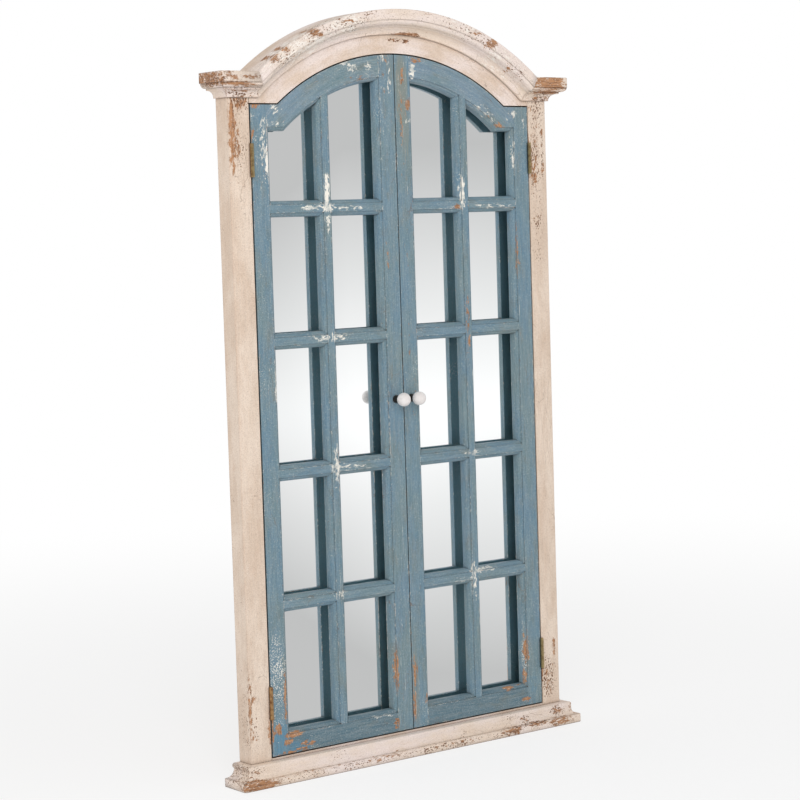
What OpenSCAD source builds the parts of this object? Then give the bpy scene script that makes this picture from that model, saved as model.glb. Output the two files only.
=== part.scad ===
// Arched wall mirror behind a pair of small-paned shutter doors.
// The frame stands on a moulded base and is crowned by an arched cornice with a cap on each post.
// Millimetres. X runs to the right, Y to the back, Z up. The origin is on the floor, at the
// centre of the space that the mirror takes up.

/* [Frame] */
// Width over the outer sides of the two posts
frame_w = 621; // [560:1:700]
// Depth of the posts, the header and the bottom rail
frame_d = 32; // [30:0.5:40]
// Width of each post, seen from the front
post_w = 37.5; // [34:0.5:46]
// Height of the bottom rail, which is the sill of the door opening
sill_h = 38; // [37:0.5:48]
// Height of the level shoulders of the door opening above the floor
shoulder_z = 1028; // [980:1:1100]
// Length of each level shoulder, from the post to the arch
shoulder_w = 50.8; // [42:0.1:60]
// Rise of the arch above the shoulders
arch_rise = 79; // [70:1:90]
// Flat face of the header between the opening and the cornice, along the arch
header_band = 29; // [24:0.5:34]
// Flat face between the shoulders of the opening and the caps
shoulder_band = 8; // [5:0.5:12]
// Length of the tenons that join the header and the bottom rail to the posts
tenon_len = 18; // [12:1:20]
// Thickness of the tenons
tenon_t = 8; // [6:0.5:10]
// Height of the tenons
tenon_h = 24; // [16:1:24]

/* [Cornice and caps] */
// Height of the cornice moulding
cornice_h = 37; // [34:0.5:42]
// How far the cornice stands out from the frame
cornice_out = 28; // [27:0.5:34]
// Width of the flat under the cove
toe_out = 4; // [2:0.5:5]
// Height of the small upright under the cove
toe_h = 1; // [0.5:0.5:2]
// Radius of the hollow cove
cove_r = 10; // [8:0.5:11]
// Height of the fillet between the cove and the round
fillet_h = 3; // [2:0.5:4]
// Radius of the quarter round under the top band
ovolo_r = 7; // [5:0.5:8]
// Step from the quarter round out to the top band
nosing = 2; // [1:0.5:3]

/* [Base] */
// Height of the plinth
plinth_h = 13.5; // [12:0.5:15]
// Rounding of the plinth's upper edge
plinth_r = 1; // [0.5:0.5:2]
// How far the plinth stands out from the sides of the frame
base_out = 28; // [26:0.5:34]
// How far the plinth stands out from the front of the frame
base_front_out = 23.5; // [22:0.5:27]
// Width of the flat on top of the plinth at the sides
plinth_step = 4; // [2:0.5:5]
// Radius of the hollow above the plinth at the sides
scotia_r = 13; // [11:0.5:13]
// Height of the round bead at the top of the sides
bead_h = 8; // [6:0.5:8]
// How far the bead stands out from the sides of the frame
bead_out = 14; // [12:0.5:16]
// How far the upper edge of the base stands out from the front of the frame
nose_out = 12.5; // [11:0.5:14]
// Rounding of that edge
nose_r = 3; // [2:0.5:3.5]

/* [Glass and back] */
// Width of the beads that stop the doors, seen from the front
stop_w = 10; // [8:0.5:12]
// Air between the back of the doors and the stop beads
stop_gap = 1; // [0.5:0.1:2]
// Thickness of the mirror glass
glass_t = 3; // [2:0.5:4]
// Thickness of the back panel
panel_t = 3; // [2:0.5:4]
// How far the glass reaches past the door opening all round
glass_lap = 4; // [3:0.5:5]
// Air between the edge of the glass and its recess
glass_play = 1; // [0.5:0.1:1.5]
// Width of the ledge that the back panel is screwed to
panel_ledge = 12; // [10:0.5:13]
// Air between the edge of the back panel and its recess
panel_play = 1; // [0.5:0.1:1.5]

/* [Doors] */
// Thickness of the doors
door_t = 16; // [14:0.5:18]
// Air between the doors and the frame
door_gap = 2; // [1.6:0.1:2.6]
// Air between the two doors where they meet
meeting_gap = 1.5; // [1.2:0.1:3]
// Flat width of the stiles
stile_w = 29; // [25:0.5:33]
// Flat height of the bottom rails
rail_w = 30; // [25:0.5:36]
// Flat height of the arched top rails
top_rail_w = 33; // [28:0.5:38]
// Width of the flat ridge of the glazing bars
ridge_w = 12.5; // [10:0.5:16]
// Width of the moulding along each inner edge
mould_w = 6; // [4:0.5:8]
// Depth of the moulding
mould_d = 9.5; // [9:0.5:11]
// Radius of the moulding
mould_r = 8.5; // [8.5:0.5:9]
// Height of the lowest cross bar above the bottom edge of the doors
first_bar = 230; // [200:1:240]
// Distance between the cross bars
bar_pitch = 200; // [180:1:210]

/* [Knobs] */
// Diameter of the round knobs
knob_d = 21.5; // [18:0.5:26]
// Length of the stem between the door and the knob
stem_len = 11.2; // [8:0.1:16]
// Diameter of the stem
stem_d = 12; // [10:0.5:14]
// Height of the knobs above the bottom edge of the doors
knob_h = 528; // [480:1:580]
// Diameter of the screw that holds the knob
knob_screw_d = 4; // [3:0.5:5]
// How far the screw reaches into the knob
knob_screw_in = 10; // [6:0.5:12]

/* [Hinges] */
// Length of each hinge
hinge_len = 50; // [40:1:60]
// Distance from the ends of the outer stile to the hinges
hinge_inset = 58; // [40:1:80]
// Outer diameter of the hinge barrel
barrel_d = 5.5; // [5:0.1:6.5]
// Air between the barrel and the front of the doors
barrel_play = 0.25; // [0.2:0.05:0.5]
// Diameter of the hinge pin
pin_d = 2.5; // [2:0.1:3]
// Running clearance round the pin in the knuckles of the door
pin_play = 0.05; // [0.02:0.01:0.08]
// Air between neighbouring knuckles
knuckle_gap = 0.3; // [0.2:0.05:0.5]
// Width of each leaf behind the front of the doors
leaf_w = 12; // [10:0.5:13]
// Air between the two leaves of a closed hinge
leaf_play = 0.1; // [0.05:0.05:0.2]
// Diameter of the hinge screws
hinge_screw_d = 3; // [2.5:0.1:3.5]
// Length of the hinge screws
hinge_screw_len = 12; // [8:0.5:16]
// Distance between the two screws of a leaf
hinge_screw_pitch = 30; // [24:1:34]

/* [Catches] */
// Diameter of the round magnets in the top stop bead
magnet_d = 6; // [5:0.5:7]
// Thickness of the magnets
magnet_t = 4; // [3:0.5:5]
// Diameter of the steel strikes on the doors
strike_d = 5.5; // [4.5:0.5:6]
// Air between a magnet and its strike
strike_gap = 0.3; // [0.2:0.05:0.4]
// Diameter of the shank of the strikes
strike_shank_d = 2; // [1.5:0.1:2.5]
// Length of the shank of the strikes
strike_shank_len = 8; // [5:0.5:10]

/* [Back fittings] */
// Width of the hanger plates
hanger_w = 16; // [14:0.5:17]
// Length of the hanger plates
hanger_l = 46; // [42:1:54]
// Thickness of the hanger plates
hanger_t = 1.5; // [1:0.5:2]
// Height of the middle of the hanger plates above the floor
hanger_z = 985; // [940:1:1000]
// Diameter of the round hole of a hanger
key_d = 9; // [8:0.5:10]
// Width of the slot above the round hole
key_slot_w = 4.5; // [4:0.5:5]
// Distance from the round hole up to the end of the slot
key_rise = 9; // [7:0.5:10]
// Depth of the pocket behind a hanger
pocket_d = 6; // [5:0.5:8]
// Distance between the two screws of a hanger
hanger_screw_pitch = 36; // [33:0.5:38]
// Diameter of the screws in the back
back_screw_d = 3; // [2.5:0.1:3.5]
// Length of the screws in the back
back_screw_len = 12; // [9:0.5:14]
// Screws in each upright edge of the back panel
side_screws = 5; // [3:1:6]
// Screws in the bottom edge of the back panel
bottom_screws = 3; // [2:1:5]
// Screws along the arched edge of the back panel
arch_screws = 5; // [3:2:7]

/* [Hidden] */

// Smoothness of small rounds and of the large arch
$fn = 64;
ARCH_FN = 360;
// Overrun of the cutting shapes past what they cut
CUT = 2;
// Colours of the finishes
CREAM = "#e6d8c9";
BLUE = "#6e8fa3";
SILVER = "#d5dadd";
BOARD = "#8a6f55";
BRASS = "#a8905c";
STEEL = "#9a9c9e";
BLACK = "#2b2927";
WHITE = "#ece8e2";

// Door opening
open_hw = frame_w / 2 - post_w;
arch_hw = open_hw - shoulder_w;
arch_r = (arch_hw * arch_hw + arch_rise * arch_rise) / (2 * arch_rise);
arch_z = shoulder_z + arch_rise - arch_r;
tall = arch_z + arch_r;

// Cornice and caps
cornice_r = arch_r + header_band;
crown_r = cornice_r + cornice_h;
cap_z = shoulder_z + shoulder_band;
cap_top = cap_z + cornice_h;
cove_x = toe_out + cove_r;
fillet_z = toe_h + cove_r;
ovolo_z = fillet_z + fillet_h;
ovolo_x = cornice_out - nosing - ovolo_r;
fillet_x = (cove_x + ovolo_x) / 2;
band_z = ovolo_z + ovolo_r;
// Half-way points of the mitre between the arch and a cap, at the foot and at the top
mitre_low = sqrt(cornice_r * cornice_r - (cap_z - arch_z) * (cap_z - arch_z));
mitre_high = sqrt(crown_r * crown_r - (cap_top - arch_z) * (cap_top - arch_z));
mitre_slope = (mitre_high - mitre_low) / cornice_h;

// Heights of the tenons
header_tenon_z = (shoulder_z + cap_top) / 2;
rail_tenon_z = sill_h / 2;

// Base
bead_z = plinth_h + scotia_r;
base_h = bead_z + bead_h;
scotia_x = base_out - plinth_step;
hollow_x = base_front_out - plinth_r;
hollow_r = hollow_x - nose_out;
hollow_z = plinth_h + hollow_r;

// Layers from the front to the back
glass_y = frame_d - panel_t - glass_t;
panel_y = frame_d - panel_t;
stop_y = door_t + stop_gap;

// Doors, modelled on the left of the middle
door_hw = open_hw - door_gap;
door_z = sill_h + door_gap;
door_top = shoulder_z - door_gap;
door_r = arch_r - door_gap;
outer_edge = -door_hw;
meeting_edge = -meeting_gap / 2;
outer_flat = outer_edge + stile_w;
meeting_flat = meeting_edge - stile_w;
rail_top = door_z + rail_w;
ridge_r = door_r - top_rail_w;
ridge_z = door_top - top_rail_w;
bar_x = (outer_flat + meeting_flat) / 2;
bar_hw = ridge_w / 2 + mould_w;
bar_top = arch_z + sqrt(ridge_r * ridge_r - (bar_x + bar_hw) * (bar_x + bar_hw));
cross_z = [for (i = [0 : 3]) door_z + first_bar + i * bar_pitch];

// Knobs
knob_x = meeting_edge - stile_w / 2;
knob_z = door_z + knob_h;
seat_r = stem_d / 2 - 0.5;
knob_y = -stem_len - sqrt(knob_d * knob_d / 4 - seat_r * seat_r);
knob_reach = knob_d / 2 - knob_y;
screw_head_h = 2.4;

// Hinges
pin_x = -(open_hw + door_hw) / 2;
pin_y = -(barrel_d / 2 + barrel_play);
leaf_t = (door_gap - leaf_play) / 2;
knuckle_len = (hinge_len - 4 * knuckle_gap) / 5;
lower_hinge = door_z + hinge_inset;
upper_hinge = door_top - hinge_inset - hinge_len;
hinge_screw_z = [(hinge_len - hinge_screw_pitch) / 2, (hinge_len + hinge_screw_pitch) / 2];
hinge_screw_y = leaf_w / 2;

// Catches
catch_r = arch_r - stop_w / 2;
catch_z = arch_z + sqrt(catch_r * catch_r - knob_x * knob_x);
strike_t = stop_gap - strike_gap;

// Back fittings
glass_grow = glass_lap + glass_play;
panel_grow = glass_grow + panel_ledge;
screw_grow = glass_grow + panel_ledge / 2;
hanger_x = (frame_w / 2 + open_hw + panel_grow) / 2;
back_head_d = 2 * back_screw_d;
back_head_h = back_screw_d / 2;
key_z = -key_rise / 2;

// Depth: the knobs, the cornice or the base reach furthest to the front
reach = max(knob_reach, cornice_out, base_front_out);
face_y = (reach - frame_d) / 2;

// ---------- helpers ----------

// Plate between two depths, drawn as seen from the front
module plate(y0, y1) {
  translate([0, y1, 0]) rotate([90, 0, 0]) linear_extrude(y1 - y0) children();
}

// Full turn about the centre of the arch; the drawing has the radius along X and the depth along -Y
module arch_turn() {
  translate([0, 0, arch_z]) rotate([90, 0, 0]) rotate_extrude($fn = ARCH_FN) children();
}

// The same piece on the left or, mirrored, on the right
module side(s) {
  mirror([s == "right" ? 1 : 0, 0, 0]) children();
}

// Places a piece drawn from the front of the frame into the model
module set_in() {
  translate([0, face_y, 0]) children();
}

// Outline of the door opening, grown on all sides
module opening(grow) {
  hw = open_hw + grow;
  translate([-hw, sill_h - grow]) square([2 * hw, shoulder_z - sill_h + 2 * grow]);
  intersection() {
    translate([0, arch_z]) circle(r = arch_r + grow, $fn = ARCH_FN);
    translate([-hw, arch_z]) square([2 * hw, arch_r + grow + CUT]);
  }
}

// Countersunk wood screw pointing down from its flat head at the origin
module wood_screw(d, head_d, head_h, len) {
  translate([0, 0, -head_h]) cylinder(h = head_h, d1 = d, d2 = head_d);
  translate([0, 0, -len + d]) cylinder(h = len - head_h - d, d = d);
  translate([0, 0, -len]) cylinder(h = d, d1 = d / 4, d2 = d);
}

// ---------- frame ----------

// Section of the cornice: X out from the frame, Y up
module cornice_section() {
  difference() {
    union() {
      square([toe_out, cornice_h]);
      translate([0, toe_h]) square([cove_x, cornice_h - toe_h]);
      translate([0, fillet_z]) square([fillet_x, cornice_h - fillet_z]);
      translate([0, ovolo_z]) square([ovolo_x, cornice_h - ovolo_z]);
      intersection() {
        translate([ovolo_x, band_z]) circle(r = ovolo_r);
        translate([0, ovolo_z]) square([cornice_out, ovolo_r]);
      }
      translate([0, band_z]) square([cornice_out, cornice_h - band_z]);
    }
    translate([cove_x, toe_h]) circle(r = cove_r);
  }
}

// Section of the plinth: X out from the frame, Y up
module plinth_section(out) {
  square([out, plinth_h - plinth_r]);
  square([out - plinth_r, plinth_h]);
  translate([out - plinth_r, plinth_h - plinth_r]) circle(r = plinth_r);
}

// Section of the sides of the base: a bead over a hollow
module base_side_section() {
  plinth_section(base_out);
  difference() {
    square([scotia_x, bead_z]);
    translate([scotia_x, bead_z]) circle(r = scotia_r);
  }
  translate([0, bead_z]) square([bead_out - bead_h / 2, bead_h]);
  translate([bead_out - bead_h / 2, bead_z + bead_h / 2]) circle(d = bead_h);
}

// Section of the front of the base: fuller, with the hollow running straight up into its edge
module base_front_section() {
  plinth_section(base_front_out);
  difference() {
    square([hollow_x, hollow_z]);
    translate([hollow_x, hollow_z]) circle(r = hollow_r);
  }
  square([nose_out, base_h - nose_r]);
  square([nose_out - nose_r, base_h]);
  translate([nose_out - nose_r, base_h - nose_r]) circle(r = nose_r);
}

// Left run of a moulding that turns the corner of the frame, cut to its mitre. The mitre goes out
// by side_out and to the front by front_out.
// The front run reaches from the corner to x_end; the return reaches to the back.
module front_run(z, side_out, front_out, x_end) {
  intersection() {
    translate([-frame_w / 2 - side_out, 0, z]) rotate([90, 0, 90])
      linear_extrude(x_end + frame_w / 2 + side_out) mirror([1, 0]) children();
    translate([0, 0, z - CUT]) linear_extrude(tall)
      polygon([[-frame_w / 2, 0], [-frame_w / 2 - side_out, -front_out], [x_end, -front_out], [x_end, 0]]);
  }
}

module return_run(z, side_out, front_out) {
  intersection() {
    translate([-frame_w / 2, frame_d, z]) rotate([90, 0, 0])
      linear_extrude(frame_d + front_out) mirror([1, 0]) children();
    translate([0, 0, z - CUT]) linear_extrude(tall)
      polygon([[-frame_w / 2, 0], [-frame_w / 2 - side_out, -front_out],
               [-frame_w / 2 - side_out, frame_d], [-frame_w / 2, frame_d]]);
  }
}

// Everything between the two mitres of the arched cornice
module between_mitres() {
  low = cap_z - CUT;
  high = arch_z + crown_r + CUT;
  low_x = mitre_low - mitre_slope * CUT;
  high_x = mitre_low + mitre_slope * (high - cap_z);
  plate(-cornice_out - CUT, CUT)
    polygon([[-low_x, low], [-high_x, high], [high_x, high], [low_x, low]]);
}

// Recesses for the glass and for the back panel
module back_recess() {
  plate(glass_y, frame_d + CUT) opening(glass_grow);
  plate(panel_y, frame_d + CUT) opening(panel_grow);
}

// Tenon at the left end of a rail, with its middle at the height z and its root in the rail
module tenon(z) {
  translate([-open_hw - tenon_len, (glass_y - tenon_t) / 2, z - tenon_h / 2])
    cube([tenon_len + CUT, tenon_t, tenon_h]);
}

module post() {
  difference() {
    translate([-frame_w / 2, 0, 0]) cube([post_w, frame_d, cap_top]);
    back_recess();
    tenon(header_tenon_z);
    tenon(rail_tenon_z);
    frame_leaf_screw_holes(lower_hinge);
    frame_leaf_screw_holes(upper_hinge);
    hanger_recess();
    back_screw_holes();
  }
}

module arched_header() {
  difference() {
    union() {
      plate(0, frame_d) difference() {
        intersection() {
          translate([0, arch_z]) circle(r = crown_r, $fn = ARCH_FN);
          translate([-open_hw, shoulder_z]) square([2 * open_hw, crown_r]);
        }
        translate([0, arch_z]) circle(r = arch_r, $fn = ARCH_FN);
      }
      for (s = ["left", "right"]) side(s) tenon(header_tenon_z);
    }
    back_recess();
    back_screw_holes();
  }
}

module bottom_rail() {
  difference() {
    union() {
      translate([-open_hw, 0, 0]) cube([2 * open_hw, frame_d, sill_h]);
      for (s = ["left", "right"]) side(s) tenon(rail_tenon_z);
    }
    back_recess();
    back_screw_holes();
  }
}

module arch_cornice() {
  intersection() {
    arch_turn() translate([cornice_r, 0]) rotate(90) mirror([0, 1]) cornice_section();
    between_mitres();
  }
}

module cap_front() {
  difference() {
    front_run(cap_z, cornice_out, cornice_out, -mitre_low) cornice_section();
    between_mitres();
  }
}

module cap_return() {
  return_run(cap_z, cornice_out, cornice_out) cornice_section();
}

module base_front() {
  for (s = ["left", "right"]) side(s) front_run(0, base_out, base_front_out, 0) base_front_section();
}

module base_return() {
  return_run(0, base_out, base_front_out) base_side_section();
}

// ---------- stop beads, glass and back ----------

module side_stop() {
  translate([-open_hw, stop_y, sill_h + stop_w])
    cube([stop_w, glass_y - stop_y, shoulder_z - sill_h - 2 * stop_w]);
}

module bottom_stop() {
  translate([-open_hw, stop_y, sill_h]) cube([2 * open_hw, glass_y - stop_y, stop_w]);
}

module top_stop() {
  difference() {
    plate(stop_y, glass_y) difference() {
      opening(0);
      opening(-stop_w);
      translate([-open_hw - CUT, 0]) square([2 * (open_hw + CUT), shoulder_z - stop_w]);
    }
    for (s = ["left", "right"]) side(s) magnet();
  }
}

module magnet() {
  translate([knob_x, stop_y, catch_z]) rotate([-90, 0, 0]) cylinder(h = magnet_t, d = magnet_d);
}

module mirror_glass() {
  plate(glass_y, panel_y) opening(glass_lap);
}

module back_panel() {
  difference() {
    plate(panel_y, frame_d) opening(panel_grow - panel_play);
    at_back_screws() wood_screw(back_screw_d, back_head_d, back_head_h, back_screw_len);
  }
}

// Places of the screws round the back panel, pointing to the front
module at_back_screws() {
  first_z = sill_h + shoulder_w;
  step_z = (shoulder_z - 2 * shoulder_w - first_z) / (side_screws - 1);
  step_x = 2 * arch_hw / (bottom_screws - 1);
  step_a = 90 / (arch_screws + 1);
  for (x = [-1, 1] * (open_hw + screw_grow), i = [0 : side_screws - 1])
    translate([x, frame_d, first_z + i * step_z]) rotate([-90, 0, 0]) children();
  for (i = [0 : bottom_screws - 1])
    translate([-arch_hw + i * step_x, frame_d, sill_h - screw_grow]) rotate([-90, 0, 0]) children();
  for (i = [1 : arch_screws])
    translate([(arch_r + screw_grow) * cos(45 + i * step_a), frame_d,
               arch_z + (arch_r + screw_grow) * sin(45 + i * step_a)])
      rotate([-90, 0, 0]) children();
}

module back_screw_holes() {
  at_back_screws() translate([0, 0, -back_screw_len]) cylinder(h = back_screw_len + CUT, d = back_screw_d);
}

// Places of the screws in the left hanger
module at_hanger_screws() {
  for (dz = [-1, 1] * hanger_screw_pitch / 2)
    translate([-hanger_x, frame_d, hanger_z + dz]) rotate([-90, 0, 0]) children();
}

// Keyhole, seen from the back, in a plate of any depth
module keyhole(y0, grow) {
  translate([-hanger_x, 0, hanger_z + key_z]) plate(y0, frame_d + CUT) {
    circle(d = key_d + 2 * grow);
    translate([-key_slot_w / 2 - grow, 0]) square([key_slot_w + 2 * grow, key_rise]);
  }
}

module hanger() {
  difference() {
    translate([-hanger_x - hanger_w / 2, frame_d - hanger_t, hanger_z - hanger_l / 2])
      cube([hanger_w, hanger_t, hanger_l]);
    keyhole(frame_d - hanger_t - CUT, 0);
    at_hanger_screws() wood_screw(back_screw_d, back_head_d, back_head_h, back_screw_len);
  }
}

module hanger_recess() {
  translate([-hanger_x - hanger_w / 2, frame_d - hanger_t, hanger_z - hanger_l / 2])
    cube([hanger_w, hanger_t + CUT, hanger_l]);
  translate([-hanger_x - key_d / 2, frame_d - pocket_d, hanger_z + key_z - key_d / 2])
    cube([key_d, pocket_d, key_rise + key_d]);
  at_hanger_screws()
    translate([0, 0, -back_screw_len]) cylinder(h = back_screw_len, d = back_screw_d);
}

module hangers() {
  for (s = ["left", "right"]) side(s) hanger();
}

module back_screws() {
  at_back_screws() wood_screw(back_screw_d, back_head_d, back_head_h, back_screw_len);
  for (s = ["left", "right"]) side(s)
    at_hanger_screws() wood_screw(back_screw_d, back_head_d, back_head_h, back_screw_len);
}

// ---------- doors ----------

// Section of the moulding: X from the flat to the opening, Y to the back
module moulding() {
  translate([0, mould_d]) square([mould_w, door_t - mould_d]);
  intersection() {
    translate([mould_w - mould_r, mould_d]) circle(r = mould_r);
    square([mould_w, mould_d]);
  }
}

// Section of a stile or a rail: the flat and the moulding beside it
module moulded_edge(flat) {
  square([flat, door_t]);
  translate([flat, 0]) moulding();
}

// Section of a glazing bar, moulded on both sides
module bar_section() {
  moulded_edge(ridge_w / 2);
  mirror([1, 0]) moulded_edge(ridge_w / 2);
}

module outer_stile() {
  difference() {
    translate([outer_edge, 0, door_z]) linear_extrude(door_top - door_z) moulded_edge(stile_w);
    door_leaf_screw_holes(lower_hinge);
    door_leaf_screw_holes(upper_hinge);
  }
}

// The meeting stile before its holes are bored
module meeting_blank() {
  intersection() {
    translate([meeting_edge, 0, door_z]) linear_extrude(tall - door_z) mirror([1, 0]) moulded_edge(stile_w);
    plate(-CUT, door_t + CUT) {
      translate([0, arch_z]) circle(r = door_r, $fn = ARCH_FN);
      translate([-door_hw, 0]) square([door_hw, arch_z]);
    }
  }
}

module meeting_stile() {
  difference() {
    meeting_blank();
    translate([knob_x, -CUT, knob_z]) rotate([-90, 0, 0]) cylinder(h = door_t + 2 * CUT, d = knob_screw_d);
    translate([knob_x, door_t - strike_shank_len, catch_z]) rotate([-90, 0, 0])
      cylinder(h = strike_shank_len + CUT, d = strike_shank_d);
  }
}

// What the two stiles take up, for the ends that are cut to fit round their mouldings
module stiles() {
  translate([outer_edge, 0, door_z - CUT]) linear_extrude(tall) moulded_edge(stile_w);
  translate([meeting_edge, 0, door_z - CUT]) linear_extrude(tall) mirror([1, 0]) moulded_edge(stile_w);
}

// Lays a section level from stile to stile; its X points up
module along_rail() {
  rotate([90, 0, 90]) linear_extrude(meeting_flat - outer_flat) rotate(90) mirror([0, 1]) children();
}

module bottom_door_rail() {
  difference() {
    translate([outer_flat, 0, door_z]) along_rail() moulded_edge(rail_w);
    stiles();
  }
}

// The top rail as the board between the stiles, before its ends are cut
module top_rail_board() {
  difference() {
    plate(0, door_t) {
      translate([outer_flat, ridge_z - 2 * mould_w])
        square([meeting_flat - outer_flat, door_top - ridge_z + 2 * mould_w]);
      intersection() {
        translate([0, arch_z]) circle(r = door_r, $fn = ARCH_FN);
        translate([outer_flat, door_top]) square([meeting_flat - outer_flat, tall - door_top]);
      }
    }
    // Straight moulding under the shoulder
    translate([outer_flat, 0, ridge_z]) along_rail() mirror([1, 0]) difference() {
      translate([0, -CUT]) square([tall, door_t + 2 * CUT]);
      moulding();
    }
    // Round moulding under the arch
    arch_turn() difference() {
      translate([0, -door_t - CUT]) square([ridge_r, door_t + 2 * CUT]);
      translate([ridge_r, 0]) rotate(180) moulding();
    }
  }
}

module top_door_rail() {
  difference() {
    top_rail_board();
    stiles();
  }
}

// The upright bar before the cross bars are let into its back
module upright_blank() {
  difference() {
    translate([bar_x, 0, rail_top]) linear_extrude(bar_top - rail_top) bar_section();
    bottom_door_rail();
    top_rail_board();
  }
}

module upright_bar() {
  difference() {
    upright_blank();
    for (z = cross_z)
      translate([bar_x - bar_hw - CUT, mould_d, z - bar_hw]) cube([2 * (bar_hw + CUT), door_t, 2 * bar_hw]);
  }
}

module cross_bar(z) {
  difference() {
    translate([outer_flat, 0, z]) along_rail() bar_section();
    stiles();
    translate([bar_x, 0, z - 2 * bar_hw]) linear_extrude(4 * bar_hw) intersection() {
      bar_section();
      translate([-bar_hw, -CUT]) square([2 * bar_hw, mould_d + CUT]);
    }
  }
}

// ---------- knobs ----------

// Ball with a flat seat on the stem and a blind hole for the screw
module knob() {
  translate([knob_x, 0, knob_z]) rotate([90, 0, 0]) rotate_extrude() difference() {
    translate([0, -knob_y]) circle(d = knob_d);
    translate([-knob_d, -knob_d - knob_y]) square([knob_d, 2 * knob_d]);
    square([knob_d, stem_len]);
    square([knob_screw_d / 2, stem_len + knob_screw_in]);
  }
}

module knob_stem() {
  collar = stem_len / 5;
  translate([knob_x, 0, knob_z]) rotate([90, 0, 0]) rotate_extrude()
    polygon([[knob_screw_d / 2, 0], [stem_d / 2, 0], [stem_d / 2, collar], [seat_r - 1, 2 * collar],
             [seat_r - 1, stem_len - collar], [seat_r, stem_len], [knob_screw_d / 2, stem_len]]);
}

module knob_screw() {
  translate([knob_x, door_t, knob_z]) rotate([-90, 0, 0]) {
    translate([0, 0, -door_t - stem_len - knob_screw_in])
      cylinder(h = door_t + stem_len + knob_screw_in, d = knob_screw_d);
    cylinder(h = screw_head_h, d = 2 * knob_screw_d);
  }
}

// ---------- hinges ----------

// Knuckles i, with their necks back to the leaf; s is -1 for the frame's leaf and 1 for the door's
module knuckles(list, s, bore) {
  for (i = list) translate([0, 0, i * (knuckle_len + knuckle_gap)]) difference() {
    union() {
      cylinder(h = knuckle_len, d = barrel_d);
      translate([s > 0 ? leaf_play / 2 : -leaf_play / 2 - leaf_t, 0, 0])
        cube([leaf_t, -pin_y + CUT / 2, knuckle_len]);
    }
    translate([0, 0, -CUT]) cylinder(h = knuckle_len + 2 * CUT, d = bore);
  }
}

// Screws of one leaf, pointing away from the pin on the side s
module at_leaf_screws(s) {
  for (z = hinge_screw_z)
    translate([s * leaf_play / 2, -pin_y + hinge_screw_y, z]) rotate([0, -90 * s, 0]) children();
}

module leaf(list, s, bore) {
  knuckles(list, s, bore);
  difference() {
    translate([s > 0 ? leaf_play / 2 : -leaf_play / 2 - leaf_t, -pin_y, 0])
      cube([leaf_t, leaf_w, hinge_len]);
    at_leaf_screws(s) hinge_screw();
  }
}

module hinge_screw() {
  wood_screw(hinge_screw_d, hinge_screw_d + 2 * leaf_t, leaf_t, hinge_screw_len);
}

module at_hinge(z) {
  translate([pin_x, pin_y, z]) children();
}

module frame_leaf(z) {
  at_hinge(z) leaf([0, 2, 4], -1, pin_d);
}

module door_leaf(z) {
  at_hinge(z) leaf([1, 3], 1, pin_d + 2 * pin_play);
}

module frame_leaf_screw_holes(z) {
  at_hinge(z) at_leaf_screws(-1)
    translate([0, 0, -hinge_screw_len]) cylinder(h = hinge_screw_len, d = hinge_screw_d);
}

module door_leaf_screw_holes(z) {
  at_hinge(z) at_leaf_screws(1)
    translate([0, 0, -hinge_screw_len]) cylinder(h = hinge_screw_len, d = hinge_screw_d);
}

module hinge_pins() {
  for (s = ["left", "right"], z = [lower_hinge, upper_hinge])
    side(s) at_hinge(z) cylinder(h = hinge_len, d = pin_d);
}

module frame_leaf_screws() {
  for (s = ["left", "right"], z = [lower_hinge, upper_hinge])
    side(s) at_hinge(z) at_leaf_screws(-1) hinge_screw();
}

module door_leaf_screws() {
  for (z = [lower_hinge, upper_hinge]) at_hinge(z) at_leaf_screws(1) hinge_screw();
}

// ---------- catches ----------

module catch_magnets() {
  for (s = ["left", "right"]) side(s) magnet();
}

module strike() {
  translate([knob_x, door_t, catch_z]) rotate([-90, 0, 0]) {
    cylinder(h = strike_t, d = strike_d);
    translate([0, 0, -strike_shank_len]) cylinder(h = strike_shank_len, d = strike_shank_d);
  }
}

// ---------- the pieces ----------

color(CREAM) set_in() post();  // left_post
color(CREAM) set_in() side("right") post();  // right_post
color(CREAM) set_in() arched_header();
color(CREAM) set_in() bottom_rail();
color(CREAM) set_in() arch_cornice();
color(CREAM) set_in() cap_front();  // left_cap_front
color(CREAM) set_in() side("right") cap_front();  // right_cap_front
color(CREAM) set_in() cap_return();  // left_cap_return
color(CREAM) set_in() side("right") cap_return();  // right_cap_return
color(CREAM) set_in() base_front();
color(CREAM) set_in() base_return();  // left_base_return
color(CREAM) set_in() side("right") base_return();  // right_base_return
color(CREAM) set_in() side_stop();  // left_stop
color(CREAM) set_in() side("right") side_stop();  // right_stop
color(CREAM) set_in() top_stop();
color(CREAM) set_in() bottom_stop();
color(SILVER) set_in() mirror_glass();
color(BOARD) set_in() back_panel();
color(STEEL) set_in() back_screws();
color(STEEL) set_in() hangers();
color(BRASS) set_in() frame_leaf(upper_hinge);  // left_upper_frame_leaf
color(BRASS) set_in() frame_leaf(lower_hinge);  // left_lower_frame_leaf
color(BRASS) set_in() side("right") frame_leaf(upper_hinge);  // right_upper_frame_leaf
color(BRASS) set_in() side("right") frame_leaf(lower_hinge);  // right_lower_frame_leaf
color(BRASS) set_in() hinge_pins();
color(BRASS) set_in() frame_leaf_screws();
color(STEEL) set_in() catch_magnets();

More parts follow.
